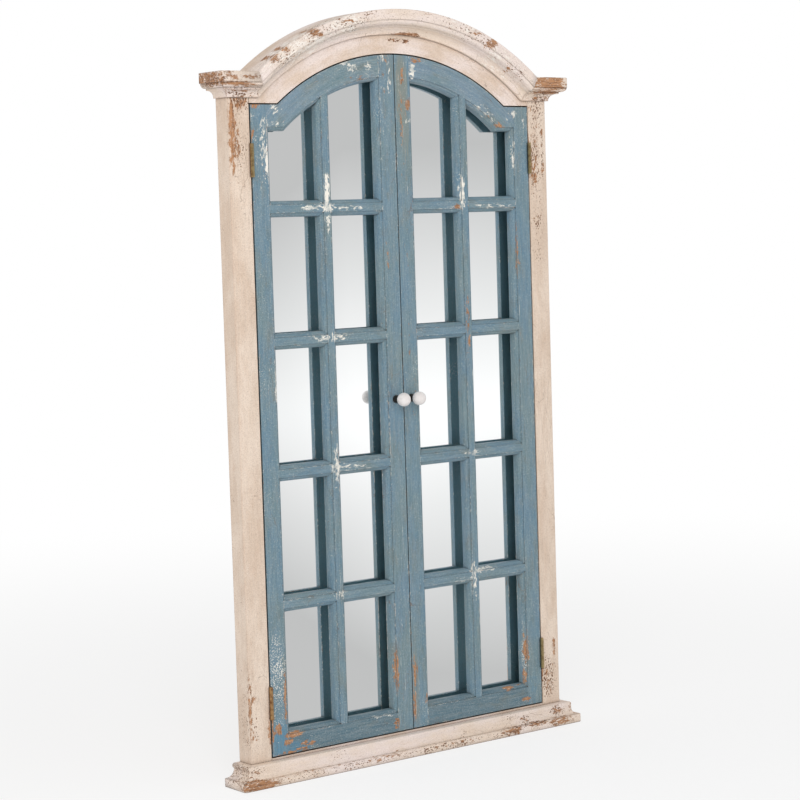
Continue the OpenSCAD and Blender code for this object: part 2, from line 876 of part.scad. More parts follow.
color(BLUE) set_in() outer_stile();  // left_outer_stile
color(BLUE) set_in() meeting_stile();  // left_meeting_stile
color(BLUE) set_in() top_door_rail();  // left_top_rail
color(BLUE) set_in() bottom_door_rail();  // left_bottom_rail
color(BLUE) set_in() upright_bar();  // left_upright_bar
color(BLUE) set_in() cross_bar(cross_z[0]);  // left_cross_bar_1
color(BLUE) set_in() cross_bar(cross_z[1]);  // left_cross_bar_2
color(BLUE) set_in() cross_bar(cross_z[2]);  // left_cross_bar_3
color(BLUE) set_in() cross_bar(cross_z[3]);  // left_cross_bar_4
color(WHITE) set_in() knob();  // left_knob
color(BLACK) set_in() knob_stem();  // left_knob_stem
color(STEEL) set_in() knob_screw();  // left_knob_screw
color(BRASS) set_in() door_leaf(upper_hinge);  // left_upper_door_leaf
color(BRASS) set_in() door_leaf(lower_hinge);  // left_lower_door_leaf
color(BRASS) set_in() door_leaf_screws();  // left_door_leaf_screws
color(STEEL) set_in() strike();  // left_strike

color(BLUE) set_in() side("right") outer_stile();  // right_outer_stile
color(BLUE) set_in() side("right") meeting_stile();  // right_meeting_stile
color(BLUE) set_in() side("right") top_door_rail();  // right_top_rail
color(BLUE) set_in() side("right") bottom_door_rail();  // right_bottom_rail
color(BLUE) set_in() side("right") upright_bar();  // right_upright_bar
color(BLUE) set_in() side("right") cross_bar(cross_z[0]);  // right_cross_bar_1
color(BLUE) set_in() side("right") cross_bar(cross_z[1]);  // right_cross_bar_2
color(BLUE) set_in() side("right") cross_bar(cross_z[2]);  // right_cross_bar_3
color(BLUE) set_in() side("right") cross_bar(cross_z[3]);  // right_cross_bar_4
color(WHITE) set_in() side("right") knob();  // right_knob
color(BLACK) set_in() side("right") knob_stem();  // right_knob_stem
color(STEEL) set_in() side("right") knob_screw();  // right_knob_screw
color(BRASS) set_in() side("right") door_leaf(upper_hinge);  // right_upper_door_leaf
color(BRASS) set_in() side("right") door_leaf(lower_hinge);  // right_lower_door_leaf
color(BRASS) set_in() side("right") door_leaf_screws();  // right_door_leaf_screws
color(STEEL) set_in() side("right") strike();  // right_strike
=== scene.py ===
"""Looks of the arched shutter mirror: worn paint, glass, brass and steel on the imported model."""

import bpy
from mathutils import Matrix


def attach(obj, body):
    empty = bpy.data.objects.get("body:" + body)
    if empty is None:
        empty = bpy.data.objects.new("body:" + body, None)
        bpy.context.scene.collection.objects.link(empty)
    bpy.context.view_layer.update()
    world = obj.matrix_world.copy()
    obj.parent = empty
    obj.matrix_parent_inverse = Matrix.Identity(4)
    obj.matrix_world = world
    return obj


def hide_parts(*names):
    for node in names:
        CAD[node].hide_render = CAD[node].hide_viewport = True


bl_info = {
    "name": "Shutter mirror",
    "version": (1, 0, 0),
    "blender": (4, 5, 0),
    "location": "View3D > Sidebar > Shutter Mirror",
    "description": "Dresses an arched shutter mirror with worn paint, glass and hardware",
    "category": "Object",
}

import math

import bmesh
import bpy
from mathutils import Matrix, Vector
from mathutils.bvhtree import BVHTree

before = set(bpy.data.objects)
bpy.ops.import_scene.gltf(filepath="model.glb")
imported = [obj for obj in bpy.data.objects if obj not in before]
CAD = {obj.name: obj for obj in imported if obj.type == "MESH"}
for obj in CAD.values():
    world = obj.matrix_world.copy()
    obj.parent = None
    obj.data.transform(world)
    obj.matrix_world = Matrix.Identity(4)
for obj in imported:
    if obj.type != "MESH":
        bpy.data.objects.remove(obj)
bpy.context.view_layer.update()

MM = 0.001
# Height of the centre of the arches and the radius where a board that follows them is measured, in millimetres
ARCH_CENTRE = 755.0
ARCH_RADIUS = 370.0


# ---------------------------------------------------------------- settings


def colour(name, description, default):
    """Property of a colour."""
    return bpy.props.FloatVectorProperty(
        name=name, description=description, subtype="COLOR", size=3, min=0, max=1, default=default)


def distance(name, description, default, least, most):
    """Property of a distance in metres."""
    return bpy.props.FloatProperty(
        name=name, description=description, subtype="DISTANCE", unit="LENGTH", default=default, min=least, max=most)


class ShutterPaintSettings(bpy.types.PropertyGroup):
    """Colours and wear of the two paints."""

    cream: colour("Cream", "Top coat of the frame", (0.815, 0.672, 0.552))
    cream_low: colour("Cream, shaded", "Where the cream coat has yellowed", (0.700, 0.545, 0.425))
    cream_rose: colour("Cream, rosy", "Top coat of the header, the cornice and the base", (0.865, 0.745, 0.690))
    cream_stain: colour("Cream stain", "Stain in the cream coat", (0.640, 0.470, 0.350))
    cream_under: colour("White under cream", "Undercoat of the frame", (0.900, 0.830, 0.760))
    blue: colour("Blue", "Top coat of the doors", (0.122, 0.236, 0.322))
    blue_pale: colour("Blue, faded", "Top coat of the arched rails", (0.162, 0.262, 0.346))
    blue_deep: colour("Blue, greened", "Top coat of the bottom rails", (0.090, 0.178, 0.230))
    blue_fresh: colour("Blue, unfaded", "Where the first, brighter blue shows", (0.082, 0.242, 0.372))
    blue_low: colour("Blue, greyed", "Where the blue coat has greyed", (0.145, 0.240, 0.278))
    blue_stain: colour("Blue stain", "Stain in the blue coat", (0.160, 0.190, 0.175))
    blue_weathered: colour(
        "Blue, weathered", "Where sun and hands have greyed the meeting stiles", (0.215, 0.240, 0.212))
    # Painted shade: the backs of the doors take this darker tone for how they look in the shade between the doors
    # and the mirror
    blue_back_shade: colour("Blue at the back", "Coat on the backs of the doors", (0.078, 0.205, 0.262))
    blue_under: colour("White under blue", "Undercoat of the doors", (0.860, 0.820, 0.740))
    wood: colour("Bare wood", "Wood where all paint is gone", (0.475, 0.240, 0.118))
    wood_low: colour("Stained wood", "Dark grain of the bare wood", (0.165, 0.075, 0.035))
    rounding: distance("Rounding", "Softening of the worn edges", 0.0012, 0.0002, 0.003)
    edge_reach: distance("Edge reach", "How far from an edge the paint has rubbed off", 0.0032, 0.001, 0.01)


class ShutterShapeSettings(bpy.types.PropertyGroup):
    """Worn arrises and the screws."""

    arris: distance("Arris", "How far the outer edges of the frame are worn back", 0.0012, 0.0004, 0.002)
    corner: distance(
        "Corner", "How far the outer corners of the base and the caps are worn back", 0.0024, 0.001, 0.004)
    recess: distance("Screw recess", "Depth of the cross in the screw heads", 0.0009, 0.0002, 0.0014)
    seed: bpy.props.IntProperty(
        name="Screw turn", description="Seed of the way each screw is turned", default=5, min=0, max=1000)


class ShutterStudioSettings(bpy.types.PropertyGroup):
    """Floor, light and lens."""

    floor_radius: distance("Floor radius", "Radius of the pale floor", 40.0, 5, 200)
    ambient: bpy.props.FloatProperty(
        name="Room light", description="Strength of the even light all round", default=0.67, min=0, max=4)
    behind: bpy.props.FloatProperty(
        name="Light behind the doors", description="Strength of the light that the mirror throws on their backs",
        default=1.30, min=0, max=4)
    key_power: bpy.props.FloatProperty(
        name="Key light", description="Power of the large soft light", subtype="POWER", unit="POWER",
        default=52.0, min=0, max=500)
    lens: bpy.props.FloatProperty(
        name="Lens", description="Focal length of the camera in millimetres", subtype="DISTANCE_CAMERA",
        default=99.447, min=20, max=300)


# ---------------------------------------------------------------- nodes and finishes


class NodeTree:
    """A tree of nodes. Each method adds a node and returns its output socket. Inputs are values or sockets,
    or a list of sockets where an input takes several. Shader nodes go by their short name, such as Bevel."""

    def __init__(self, tree):
        self.tree = tree
        self.tree.nodes.clear()

    def add(self, kind, inputs=None, output=0, **settings):
        node = self.tree.nodes.new(kind if "Node" in kind else f"ShaderNode{kind}")
        for key, value in settings.items():
            setattr(node, key, value)
        for key, values in (inputs or {}).items():
            for value in values if isinstance(values, list) else [values]:
                if isinstance(value, bpy.types.NodeSocket):
                    self.tree.links.new(value, node.inputs[key])
                elif value is not None:
                    node.inputs[key].default_value = value
        return node.outputs[output]

    def math(self, operation, a, b=None, c=None):
        return self.add("Math", {0: a, 1: b, 2: c}, operation=operation)

    def times(self, a, b):
        return self.math("MULTIPLY", a, b)

    def times_plus(self, a, b, c):
        return self.math("MULTIPLY_ADD", a, b, c)

    def vector(self, operation, a, b=None, c=None):
        output = "Value" if operation in ("LENGTH", "DOT_PRODUCT") else "Vector"
        return self.add("VectorMath", {0: a, 1: b, 2: c}, output, operation=operation)

    def noise(self, vector, scale, detail=3.0, roughness=0.55, output=0):
        return self.add("TexNoise", {
            "Vector": vector, "Scale": scale, "Detail": detail, "Roughness": roughness}, output)

    def step(self, value, low, high, start=0.0, end=1.0):
        """Smooth step from start to end as value goes from low to high."""
        return self.add("MapRange", {
            "Value": value, "From Min": low, "From Max": high, "To Min": start, "To Max": end},
            interpolation_type="SMOOTHSTEP")

    def end(self, kind, result):
        """Links the result to an output node."""
        self.tree.links.new(result, self.tree.nodes.new(kind).inputs[0])

    def raised(self, value, mask, weight):
        """A value raised by a mask times a weight, or as it is where there is no mask."""
        return value if mask is None else self.times_plus(mask, weight, value)

    def mix(self, factor, a, b, blend="MIX"):
        """Mixes two colours, whose sockets are inputs 6 and 7 and output 2."""
        a, b = (tone if isinstance(tone, bpy.types.NodeSocket) else (*tone, 1.0) for tone in (a, b))
        return self.add("Mix", {0: factor, 6: a, 7: b}, 2, data_type="RGBA", blend_type=blend)


class Shader(NodeTree):
    """One material."""

    def __init__(self, name):
        self.material = bpy.data.materials.new(name)
        self.material.use_nodes = True
        super().__init__(self.material.node_tree)

    def millimetres(self):
        """Place on the closed model in millimetres."""
        place = self.add("TexCoord", output="Object")
        return self.add("VectorMath", {0: place, "Scale": 1 / MM}, operation="SCALE")

    def finish(self, surface):
        """The material with this surface: a shader, or the inputs of a Principled one."""
        if isinstance(surface, dict):
            surface = self.add("BsdfPrincipled", surface)
        self.end("ShaderNodeOutputMaterial", surface)
        return self.material


def along_grain(s, point, run):
    """Coordinates in millimetres with the grain of the board along the first axis."""
    if run == "across":
        return point
    x, y, z = s.add("SeparateXYZ", {0: point}).node.outputs
    if run == "up":
        return s.add("CombineXYZ", {0: z, 1: x, 2: y})
    height = s.math("SUBTRACT", z, ARCH_CENTRE)
    length = s.times(s.math("ARCTAN2", x, height), ARCH_RADIUS)
    squares = s.times_plus(x, x, s.times(height, height))
    return s.add("CombineXYZ", {0: length, 1: y, 2: s.math("SQRT", squares)})


# Half depth of a spot that goes through everything, in millimetres, and how far a spot reaches, in half
# sizes: it keeps its full strength up to 1 less than that
WHOLE_DEPTH = 60.0
SPOT_REACH = 1.6


def worn_spots(s, point, spots):
    """Highest strength of the spots at a point, or None without spots. Each is (x, z, half width, half height,
    strength) through the whole depth, or (x, y, z, half width, half depth, half height, strength)."""
    total = None
    for spot in spots:
        if len(spot) == 5:
            x, z, across, high, strength = spot
            y, deep = 0.0, WHOLE_DEPTH
        else:
            x, y, z, across, deep, high, strength = spot
        local = s.vector("MULTIPLY_ADD", point, (1 / across, 1 / deep, 1 / high),
                         (-x / across, -y / deep, -z / high))
        falloff = s.times_plus(s.vector("LENGTH", local), -strength, strength * SPOT_REACH)
        capped = s.math("MINIMUM", falloff, strength)
        total = capped if total is None else s.math("MAXIMUM", total, capped)
    return None if total is None else s.math("MAXIMUM", total, 0.0)


# How much an edge adds to the loss of the top coat and to that of all paint, how dark the dirt and the painted
# shade in the quirks and recesses are, and the narrow step round 1 at which a layer has gone
EDGE_COAT_LOSS = 0.42
EDGE_BARE_LOSS = 0.40
DIRT_AND_SHADE = 0.9
GONE = (0.97, 1.03)
# What dirt with painted shade, the dips of the brush and the pores leave of a colour
DIRT_AND_SHADE_TONE = (0.16, 0.11, 0.08)
RIB_TONE = (0.66, 0.68, 0.70)
PORE_TONE = (0.55, 0.50, 0.46)


def painted_wood(name, paint, tones, run, rubbed=(), bare=(), speckled=(), fresh=(), weathered=(), flecked=(),
                 coat_loss=0.36, bare_loss=0.30, edge_tint=0.0, specks=0.0, ribbing=0.34, cracks=0.0,
                 scratches=0.0, back_shade_tone=None, worn_sides=True):
    """Worn paint over an undercoat over wood. tones are the top coat, its second tone, its stain and the
    undercoat, and run is the way of the grain. The spots say where the top coat has rubbed off, where all paint
    has, where dots are dense, where the paint is brighter or greyed, and where flecks are. Without worn_sides
    they stay on faces that look to the front."""
    top, top_low, stain, under = tones
    s = Shader(name)
    point = s.millimetres()
    grain = along_grain(s, point, run)
    stretched = s.vector("MULTIPLY", grain, (0.40, 1.0, 1.0))

    # Edges: how far the rounded normal leans from the face's own, where air is free round them
    soft = s.add("Bevel", {"Radius": paint.edge_reach})
    face = s.add("NewGeometry", output="Normal")
    lean = s.math("SUBTRACT", 1.0, s.vector("DOT_PRODUCT", soft, face))
    near, far = (s.add("AmbientOcclusion", {"Distance": reach}, "AO", samples=4) for reach in (0.003, 0.014))
    edge = s.times(s.step(lean, 0.004, 0.16), s.step(near, 0.55, 0.95))
    # Dirt and painted shade: near and far occlusion mark the quirks, recesses and gaps between parts, which are
    # darkened below
    dirt_and_shade = s.math("MAXIMUM", s.step(near, 0.35, 0.90, 1.0, 0.0), s.step(far, 0.15, 0.62, 0.7, 0.0))

    # Which way the face looks on the closed model: the listed wear stays off the backs
    own_face = s.add("TexCoord", output="Normal")
    turned_back = s.vector("DOT_PRODUCT", own_face, (0.0, 1.0, 0.0))
    backward = s.step(turned_back, 0.4, 0.9)
    forward = s.math("SUBTRACT", 1.0, backward) if worn_sides else s.step(turned_back, -0.30, -0.10, 1.0, 0.0)

    # Where the paint has gone: jagged noise along the grain plus the wear, whose spots have ragged outlines
    jitter = s.noise(stretched, 0.20, 5.0, 0.7, output="Color")
    ragged = s.vector("ADD", point, s.vector("MULTIPLY_ADD", jitter, (17.0, 17.0, 17.0), (-8.5, -8.5, -8.5)))
    fine = s.noise(stretched, 0.26, 8.0, 0.74)
    broad = s.noise(stretched, 0.015, 2.0, 0.5)
    wear = s.times_plus(broad, 1.2, s.times_plus(fine, 2.9, -2.05))
    coat_gone = s.times_plus(edge, EDGE_COAT_LOSS, s.math("ADD", wear, coat_loss))
    coat_mask = s.step(s.raised(coat_gone, worn_spots(s, ragged, rubbed), forward), *GONE)
    other = s.noise(s.vector("ADD", stretched, (137.0, 51.0, 83.0)), 0.22, 8.0, 0.74)
    deep = s.times_plus(other, 2.6, s.times_plus(wear, 0.35, -1.3))
    wood_shows = s.times_plus(edge, EDGE_BARE_LOSS, s.math("ADD", deep, bare_loss))
    bare_mask = s.step(s.raised(wood_shows, worn_spots(s, ragged, bare), forward), *GONE)

    # Fine dots of undercoat, denser in some places
    cells = s.add("TexVoronoi", {"Vector": point, "Scale": 0.46})
    dot_level = s.step(s.noise(point, 0.014, 3.0), 0.50, 0.74, 0.04, 0.26)
    dot_level = s.raised(dot_level, worn_spots(s, point, speckled), forward)
    dots = s.step(s.math("SUBTRACT", dot_level, cells), -0.03, 0.05, 0.0, 0.8)

    # Top coat: clouds, a stain, streaks, pores, pale grains and brush marks, then brighter and greyed places, and
    # painted shade on the backs of the doors
    mottle = s.noise(stretched, 0.022, 5.0, 0.65)
    coat = s.mix(s.step(mottle, 0.36, 0.64), top, top_low)
    stained = s.noise(s.vector("ADD", stretched, (41.0, 17.0, 93.0)), 0.05, 6.0, 0.7)
    coat = s.mix(s.step(stained, 0.50, 0.72, 0.0, 0.60), coat, stain)
    streak = s.noise(s.vector("MULTIPLY", grain, (0.03, 0.7, 0.7)), 1.0, 4.0, 0.6)
    coat = s.mix(s.step(streak, 0.35, 0.70, 0.0, 0.12), coat, under)
    pores = s.noise(point, 0.55, 4.0, 0.7)
    coat = s.mix(s.step(pores, 0.30, 0.60, 0.45, 0.0), coat, PORE_TONE, "MULTIPLY")
    coat = s.mix(s.step(s.noise(point, 0.42, 5.0, 0.8), 0.52, 0.72, 0.0, 0.40), coat, under)
    ribs = s.noise(s.vector("MULTIPLY", grain, (0.022, 0.42, 0.42)), 1.0, 5.0, 0.7)
    coat = s.mix(s.step(ribs, 0.34, 0.60, ribbing, 0.0), coat, RIB_TONE, "MULTIPLY")
    fresh_at = worn_spots(s, point, fresh)
    if fresh_at is not None:
        brighter = s.step(s.times_plus(fresh_at, 0.7, fine), 0.62, 0.98, 0.0, 0.75)
        coat = s.mix(brighter, coat, paint.blue_fresh)
    weathered_at = worn_spots(s, point, weathered)
    if weathered_at is not None:
        greyed = s.step(s.times_plus(ribs, 0.9, weathered_at), 0.70, 1.10, 0.0, 0.85)
        coat = s.mix(s.times(greyed, forward), coat, paint.blue_weathered)
    # Painted shade: faces that look back take a darker tone, which stands in for the shade in front of the mirror
    if back_shade_tone is not None:
        coat = s.mix(s.times(backward, 0.7), coat, back_shade_tone)

    # Layers: top coat, undercoat, dots, rubbed edges and bare wood with its grain
    under_coat = s.mix(s.step(s.noise(point, 0.10, 3.0), 0.4, 0.7, 0.0, 0.5), under, top_low)
    fibre = s.noise(s.vector("MULTIPLY", grain, (0.04, 1.0, 1.0)), 0.9, 5.0, 0.65)
    timber = s.mix(s.step(fibre, 0.33, 0.53), paint.wood_low, paint.wood)
    timber = s.mix(s.step(s.noise(stretched, 0.16, 6.0, 0.75), 0.48, 0.64, 0.0, 0.60), timber, paint.wood_low)
    timber = s.mix(s.step(s.noise(stretched, 0.60, 4.0, 0.75), 0.54, 0.66, 0.0, 0.55), timber, under)
    surface = s.mix(coat_mask, coat, under_coat)
    surface = s.mix(dots, surface, under_coat)
    if edge_tint:
        thin = s.times(s.step(edge, 0.55, 0.95), s.step(fine, 0.40, 0.54, 0.15, edge_tint))
        surface = s.mix(thin, surface, paint.wood)
    surface = s.mix(bare_mask, surface, timber)

    # Marks on top: long scratches to the undercoat and to the wood, flecks, hairline cracks, and dirt with painted
    # shade in quirks and recesses
    if scratches:
        for size, scale, weight, start, end, patches, patch, below in (
                ((0.012, 0.85, 0.85), 1.0, 0.13, 0.69, 0.74, other, 0.46, under_coat),
                ((0.015, 0.75, 0.75), 1.3, 0.14, 0.71, 0.76, fine, 0.45, paint.wood)):
            line = s.noise(s.vector("MULTIPLY", grain, size), scale, 3.0, 0.55)
            line = s.step(s.raised(line, weathered_at, weight), start, end)
            scored = s.times(line, s.step(patches, patch, 0.56, 0.0, scratches))
            surface = s.mix(s.times(scored, forward), surface, below)
    if specks:
        wavy = s.vector("MULTIPLY", s.vector("MULTIPLY_ADD", jitter, (9.0, 9.0, 9.0), grain), (0.55, 1.0, 1.0))
        flecks = s.add("TexVoronoi", {"Vector": wavy, "Scale": 0.38})
        pick = s.step(s.noise(point, 0.017, 4.0), 0.46, 0.74, 0.0, specks)
        pick = s.raised(pick, worn_spots(s, grain if run == "arch" else point, flecked), forward)
        fleck = s.mix(s.step(other, 0.50, 0.66), paint.wood_low, paint.wood)
        surface = s.mix(s.step(s.math("SUBTRACT", pick, flecks), -0.01, 0.03), surface, fleck)
    if cracks:
        drift = s.vector("MULTIPLY", s.noise(grain, 0.05, 2.0, 0.5, output="Color"), (0.5, 0.5, 0.5))
        plates = s.add("TexVoronoi", {
            "Vector": s.vector("MULTIPLY_ADD", grain, (0.012, 0.085, 0.085), drift), "Scale": 1.0},
            feature="DISTANCE_TO_EDGE")
        split = s.times(s.step(plates, 0.003, 0.011, cracks, 0.0), s.step(broad, 0.53, 0.60))
        surface = s.mix(split, surface, paint.wood_low)
    # Dirt and painted shade: the colour darkens towards a dirt tone where the occlusion is high
    surface = s.mix(s.times(dirt_and_shade, DIRT_AND_SHADE), surface, DIRT_AND_SHADE_TONE, "MULTIPLY")

    # Relief of the paint layers, the brush and the fibres
    layers = s.times_plus(coat_mask, -0.5, s.times(bare_mask, -0.7))
    brush = s.times_plus(fine, 0.4, s.times_plus(streak, 0.3, s.times(pores, 0.3)))
    rounded = s.add("Bevel", {"Radius": paint.rounding})
    relief = s.add("Bump", {
        "Strength": 0.6, "Distance": 0.0007, "Height": s.math("ADD", layers, brush), "Normal": rounded})
    gloss = s.step(s.math("MAXIMUM", coat_mask, bare_mask), 0.0, 1.0, 0.55, 0.80)
    return s.finish({"Base Color": surface, "Roughness": gloss, "Normal": relief})


def plain_finish(name, tone, second, roughness, metallic, scale, relief=0.3):
    """Even material with a little mottling and relief, for the small hardware."""
    s = Shader(name)
    point = s.millimetres()
    cloud = s.noise(point, scale, 5.0, 0.6)
    grain = s.noise(point, scale * 8, 3.0, 0.6)
    body = s.mix(s.step(cloud, 0.35, 0.68), tone, second)
    rounded = s.add("Bevel", {"Radius": 0.0003})
    bump = s.add("Bump", {"Strength": relief, "Distance": 0.0002, "Height": grain, "Normal": rounded})
    sheen = s.step(cloud, 0.3, 0.7, roughness, roughness + 0.2)
    return s.finish({"Base Color": body, "Metallic": metallic, "Roughness": sheen, "Normal": bump})


def new_object(name, data):
    made = bpy.data.objects.new(name, data)
    bpy.context.scene.collection.objects.link(made)
    return made


# Pieces that stand for a CAD node
PIECES = {}


def give(material, *nodes):
    """Puts a material on CAD nodes, or on the pieces that stand for them."""
    for node in nodes:
        mesh = PIECES.get(node, CAD[node]).data
        mesh.materials.clear()
        mesh.materials.append(material)


# ---------------------------------------------------------------- wear, in millimetres on the closed model

# Spots as worn_spots takes them, set where the photograph shows wear
LEFT_RUBBED = [
    (-135, 894, 4.5, 26, 1.1), (-135, 870, 11, 7, 0.85), (-163, 871, 22, 3.5, 0.72), (-92, 870, 44, 3, 0.6),
    (-135, 848, 4, 18, 0.7), (-140, 671, 40, 4, 0.62), (-134, 672, 8, 8, 0.67), (-134, 478, 4.5, 34, 0.62),
    (-112, 469, 38, 4, 0.62), (-134, 469, 10, 8, 0.67), (-134, 272, 12, 6, 0.56), (-244, 945, 2.5, 26, 0.7),
    (-252, 968, 4, 24, 0.42), (-240, 602, 2.5, 30, 0.62), (-10, 1060, 4, 34, 0.66), (-22, 1100, 6, 7, 0.62),
    (-94, 1090, 8, 4, 0.74), (-80, 1083, 11, 7, 0.56), (-50, 1085, 8, 8, 0.52), (-72, 1080, 52, 14, 0.24),
    (-225, 1018, 11, 8, 0.72), (-228, 998, 14, 4, 0.6), (-268, 1008, 6, 5, 0.6), (-249, 995, 7, 18, 0.48),
    (-24, 1040, 5, 60, 0.32), (-46, 1058, 3, 8, 0.6), (-60, 70, 22, 7, 0.34), (-170, 60, 24, 9, 0.28),
]
LEFT_BARE = [
    (-259, 80, 6, 8, 1.0), (-231, 68, 15, 5, 1.05), (-242, 58, 9, 4, 0.9), (-205, 51, 14, 4, 0.95),
    (-218, 44, 12, 4, 0.9), (-235, 42, 24, 2.5, 0.8), (-271, 84, 4, 26, 0.9), (-245, 128, 2.5, 44, 0.78),
    (-14, 1098, 9, 5, 0.7), (-23, 797, 3, 46, 0.66), (-30, 140, 4, 34, 0.84), (-33, 53, 5, 9, 0.84),
    (-262, 1024, 9, 4, 0.84), (-268, 982, 4, 12, 0.72), (-250, 950, 5, 26, 0.36), (-200, 1052, 12, 5, 0.44),
    (-76, 1068, 22, 4, 0.5), (-20, 1045, 4, 50, 0.42), (-12, 800, 5, 260, 0.24),
]
LEFT_SPECKLED = [(-257, 160, 14, 50, 0.36), (-257, 108, 14, 26, 0.26), (-70, 1080, 60, 18, 0.1),
                 (-254, 640, 12, 120, 0.06), (-258, 985, 12, 60, 0.12), (-20, 1040, 16, 60, 0.1)]
LEFT_FRESH = [(-257, 66, 14, 30, 0.6), (-226, 48, 30, 9, 0.48), (-256, 125, 14, 34, 0.2)]
LEFT_WEATHERED = [(-8, 1085, 10, 34, 0.42), (-30, 1075, 7, 30, 0.3), (-24, 130, 8, 80, 0.22),
                  (-250, 975, 12, 40, 0.26), (-236, 110, 6, 60, 0.3), (-18, 625, 13, 56, 0.3)]
RIGHT_RUBBED = [
    (131, 890, 4.5, 26, 0.92), (126, 868, 8, 6, 0.7), (100, 867, 20, 3, 0.58), (188, 868, 44, 3, 0.6),
    (137, 470, 14, 5, 0.58), (150, 277, 30, 4, 0.64), (110, 268, 24, 5, 0.56), (134, 262, 4, 32, 0.62),
    (134, 284, 6, 8, 0.62), (36, 1082, 4, 12, 0.95), (243, 1015, 8, 5, 0.72), (228, 1006, 8, 4, 0.55),
    (188, 1014, 14, 4, 0.58), (198, 1006, 7, 5, 0.6), (240, 950, 2.5, 36, 0.74), (262, 995, 3, 22, 0.54),
    (226, 130, 14, 52, 0.3), (172, 1026, 18, 5, 0.5), (25, 1003, 8, 3, 0.62), (12, 1060, 10, 44, 0.26),
    (20, 60, 10, 18, 0.34), (150, 78, 12, 5, 0.34),
]
RIGHT_BARE = [
    (120, 867, 7, 4, 0.9), (135, 678, 3.5, 56, 0.66), (15, 1072, 4, 16, 0.88), (12, 1015, 2.5, 50, 0.7),
    (26, 1028, 4, 10, 0.95), (14, 820, 7, 290, 0.32), (6, 128, 4, 26, 0.95), (4, 78, 3, 30, 0.85),
    (26, 84, 4, 7, 0.8), (46, 1097, 11, 4, 0.84), (211, 996, 10, 4, 0.95), (150, 868, 8, 3, 0.6),
    (243, 792, 2.5, 40, 0.7), (241, 132, 4, 26, 0.95), (238, 90, 3, 14, 0.8), (201, 75, 11, 5, 1.0),
    (224, 77, 12, 3, 0.66), (236, 50, 10, 3, 0.95), (22, 560, 4, 60, 0.4), (226, 112, 12, 30, 0.3),
    (188, 1010, 16, 3, 0.5), (130, 48, 90, 3, 0.34),
]
RIGHT_SPECKLED = [(230, 140, 16, 56, 0.24), (255, 960, 14, 60, 0.14), (16, 1040, 14, 60, 0.14),
                  (18, 66, 14, 26, 0.14)]
RIGHT_FRESH = [(256, 74, 10, 18, 0.34), (24, 52, 20, 8, 0.3)]
RIGHT_WEATHERED = [(14, 1050, 12, 64, 0.68), (20, 985, 11, 46, 0.5), (14, 900, 10, 60, 0.28),
                   (8, 100, 8, 80, 0.46), (238, 120, 10, 60, 0.4), (30, 50, 26, 8, 0.3)]
POST_BARE = [
    (-304, -2, 985, 6, 9, 60, 0.98), (-297, -2, 972, 8, 9, 44, 0.62), (-288, -2, 1030, 15, 9, 14, 0.74),
    (-291, -2, 960, 6, 9, 60, 0.34), (-309, 0, 120, 2.5, 5, 56, 0.74), (-304, -2, 134, 5, 5, 7, 0.74),
    (-304, -2, 80, 6, 5, 16, 0.62), (-310, 14, 80, 6, 12, 34, 0.46), (-275, 0, 84, 3, 6, 26, 0.95),
    (276, 0, 1024, 8, 9, 8, 0.48), (283, 0, 922, 8, 9, 28, 0.78), (284, 0, 955, 11, 9, 40, 0.52),
    (273, 0, 960, 3, 9, 22, 0.78), (302, 0, 925, 3, 30, 16, 0.74), (302, 0, 985, 3, 30, 8, 0.7),
    (290, 0, 850, 10, 9, 50, 0.3), (288, 0, 78, 14, 9, 34, 0.56), (272, 0, 88, 4, 9, 16, 0.9),
    (301, 0, 122, 3, 20, 34, 0.74), (290, 0, 1010, 14, 9, 40, 0.34),
]
CAP_BARE = [
    (-338, 0, 1062, 8, 50, 14, 0.7), (-318, -24, 1064, 20, 20, 9, 0.66), (-306, -24, 1054, 32, 20, 3, 0.92),
    (-285, -24, 1065, 22, 20, 6, 0.6), (-290, -8, 1044, 40, 10, 4, 0.5), (298, -20, 1064, 34, 20, 12, 1.0),
    (300, -12, 1049, 30, 14, 3, 0.9), (290, -6, 1040, 26, 12, 6, 0.5), (338, 0, 1062, 8, 50, 14, 0.5),
]
CORNICE_BARE = [
    (28, 1137, 26, 3, 0.9), (30, 1132, 40, 8, 0.4), (-167, 1132, 16, 7, 0.84),
    (-242, 1091, 8, 8, 0.74), (-222, 1106, 8, 6, 0.74), (-108, 1151, 24, 4, 0.6), (-60, 1162, 40, 5, 0.42),
    (60, 1168, 60, 6, 0.44), (146, 1140, 15, 6, 0.66), (178, 1125, 16, 9, 0.84), (217, 1086, 5, 6, 0.74),
    (236, 1078, 10, 5, 0.46), (-190, 1115, 50, 30, 0.26), (110, 1150, 40, 12, 0.34), (200, 1100, 30, 24, 0.26),
]
CORNICE_RUBBED = [(-190, 1115, 64, 30, 0.46), (120, 1150, 60, 16, 0.34), (-110, 1150, 50, 14, 0.44),
                  (200, 1105, 50, 30, 0.34)]
BASE_BARE = [
    (-311, -20, 6, 32, 20, 8, 1.1), (-275, -20, 8, 16, 20, 6, 0.62), (187, -20, 8, 22, 20, 6, 0.8),
    (293, -20, 8, 30, 20, 7, 0.7), (240, -20, 12, 24, 20, 2, 0.85), (-85, -20, 9, 70, 20, 5, 0.56),
    (60, -20, 8, 90, 20, 4, 0.42), (-330, 4, 22, 20, 44, 22, 0.12), (-315, -18, 26, 16, 12, 6, 0.46),
    (220, -14, 22, 8, 12, 7, 0.56), (290, -14, 25, 9, 12, 7, 0.6), (326, -14, 22, 8, 12, 12, 0.5),
    (-200, -20, 12, 70, 20, 2, 0.5),
]
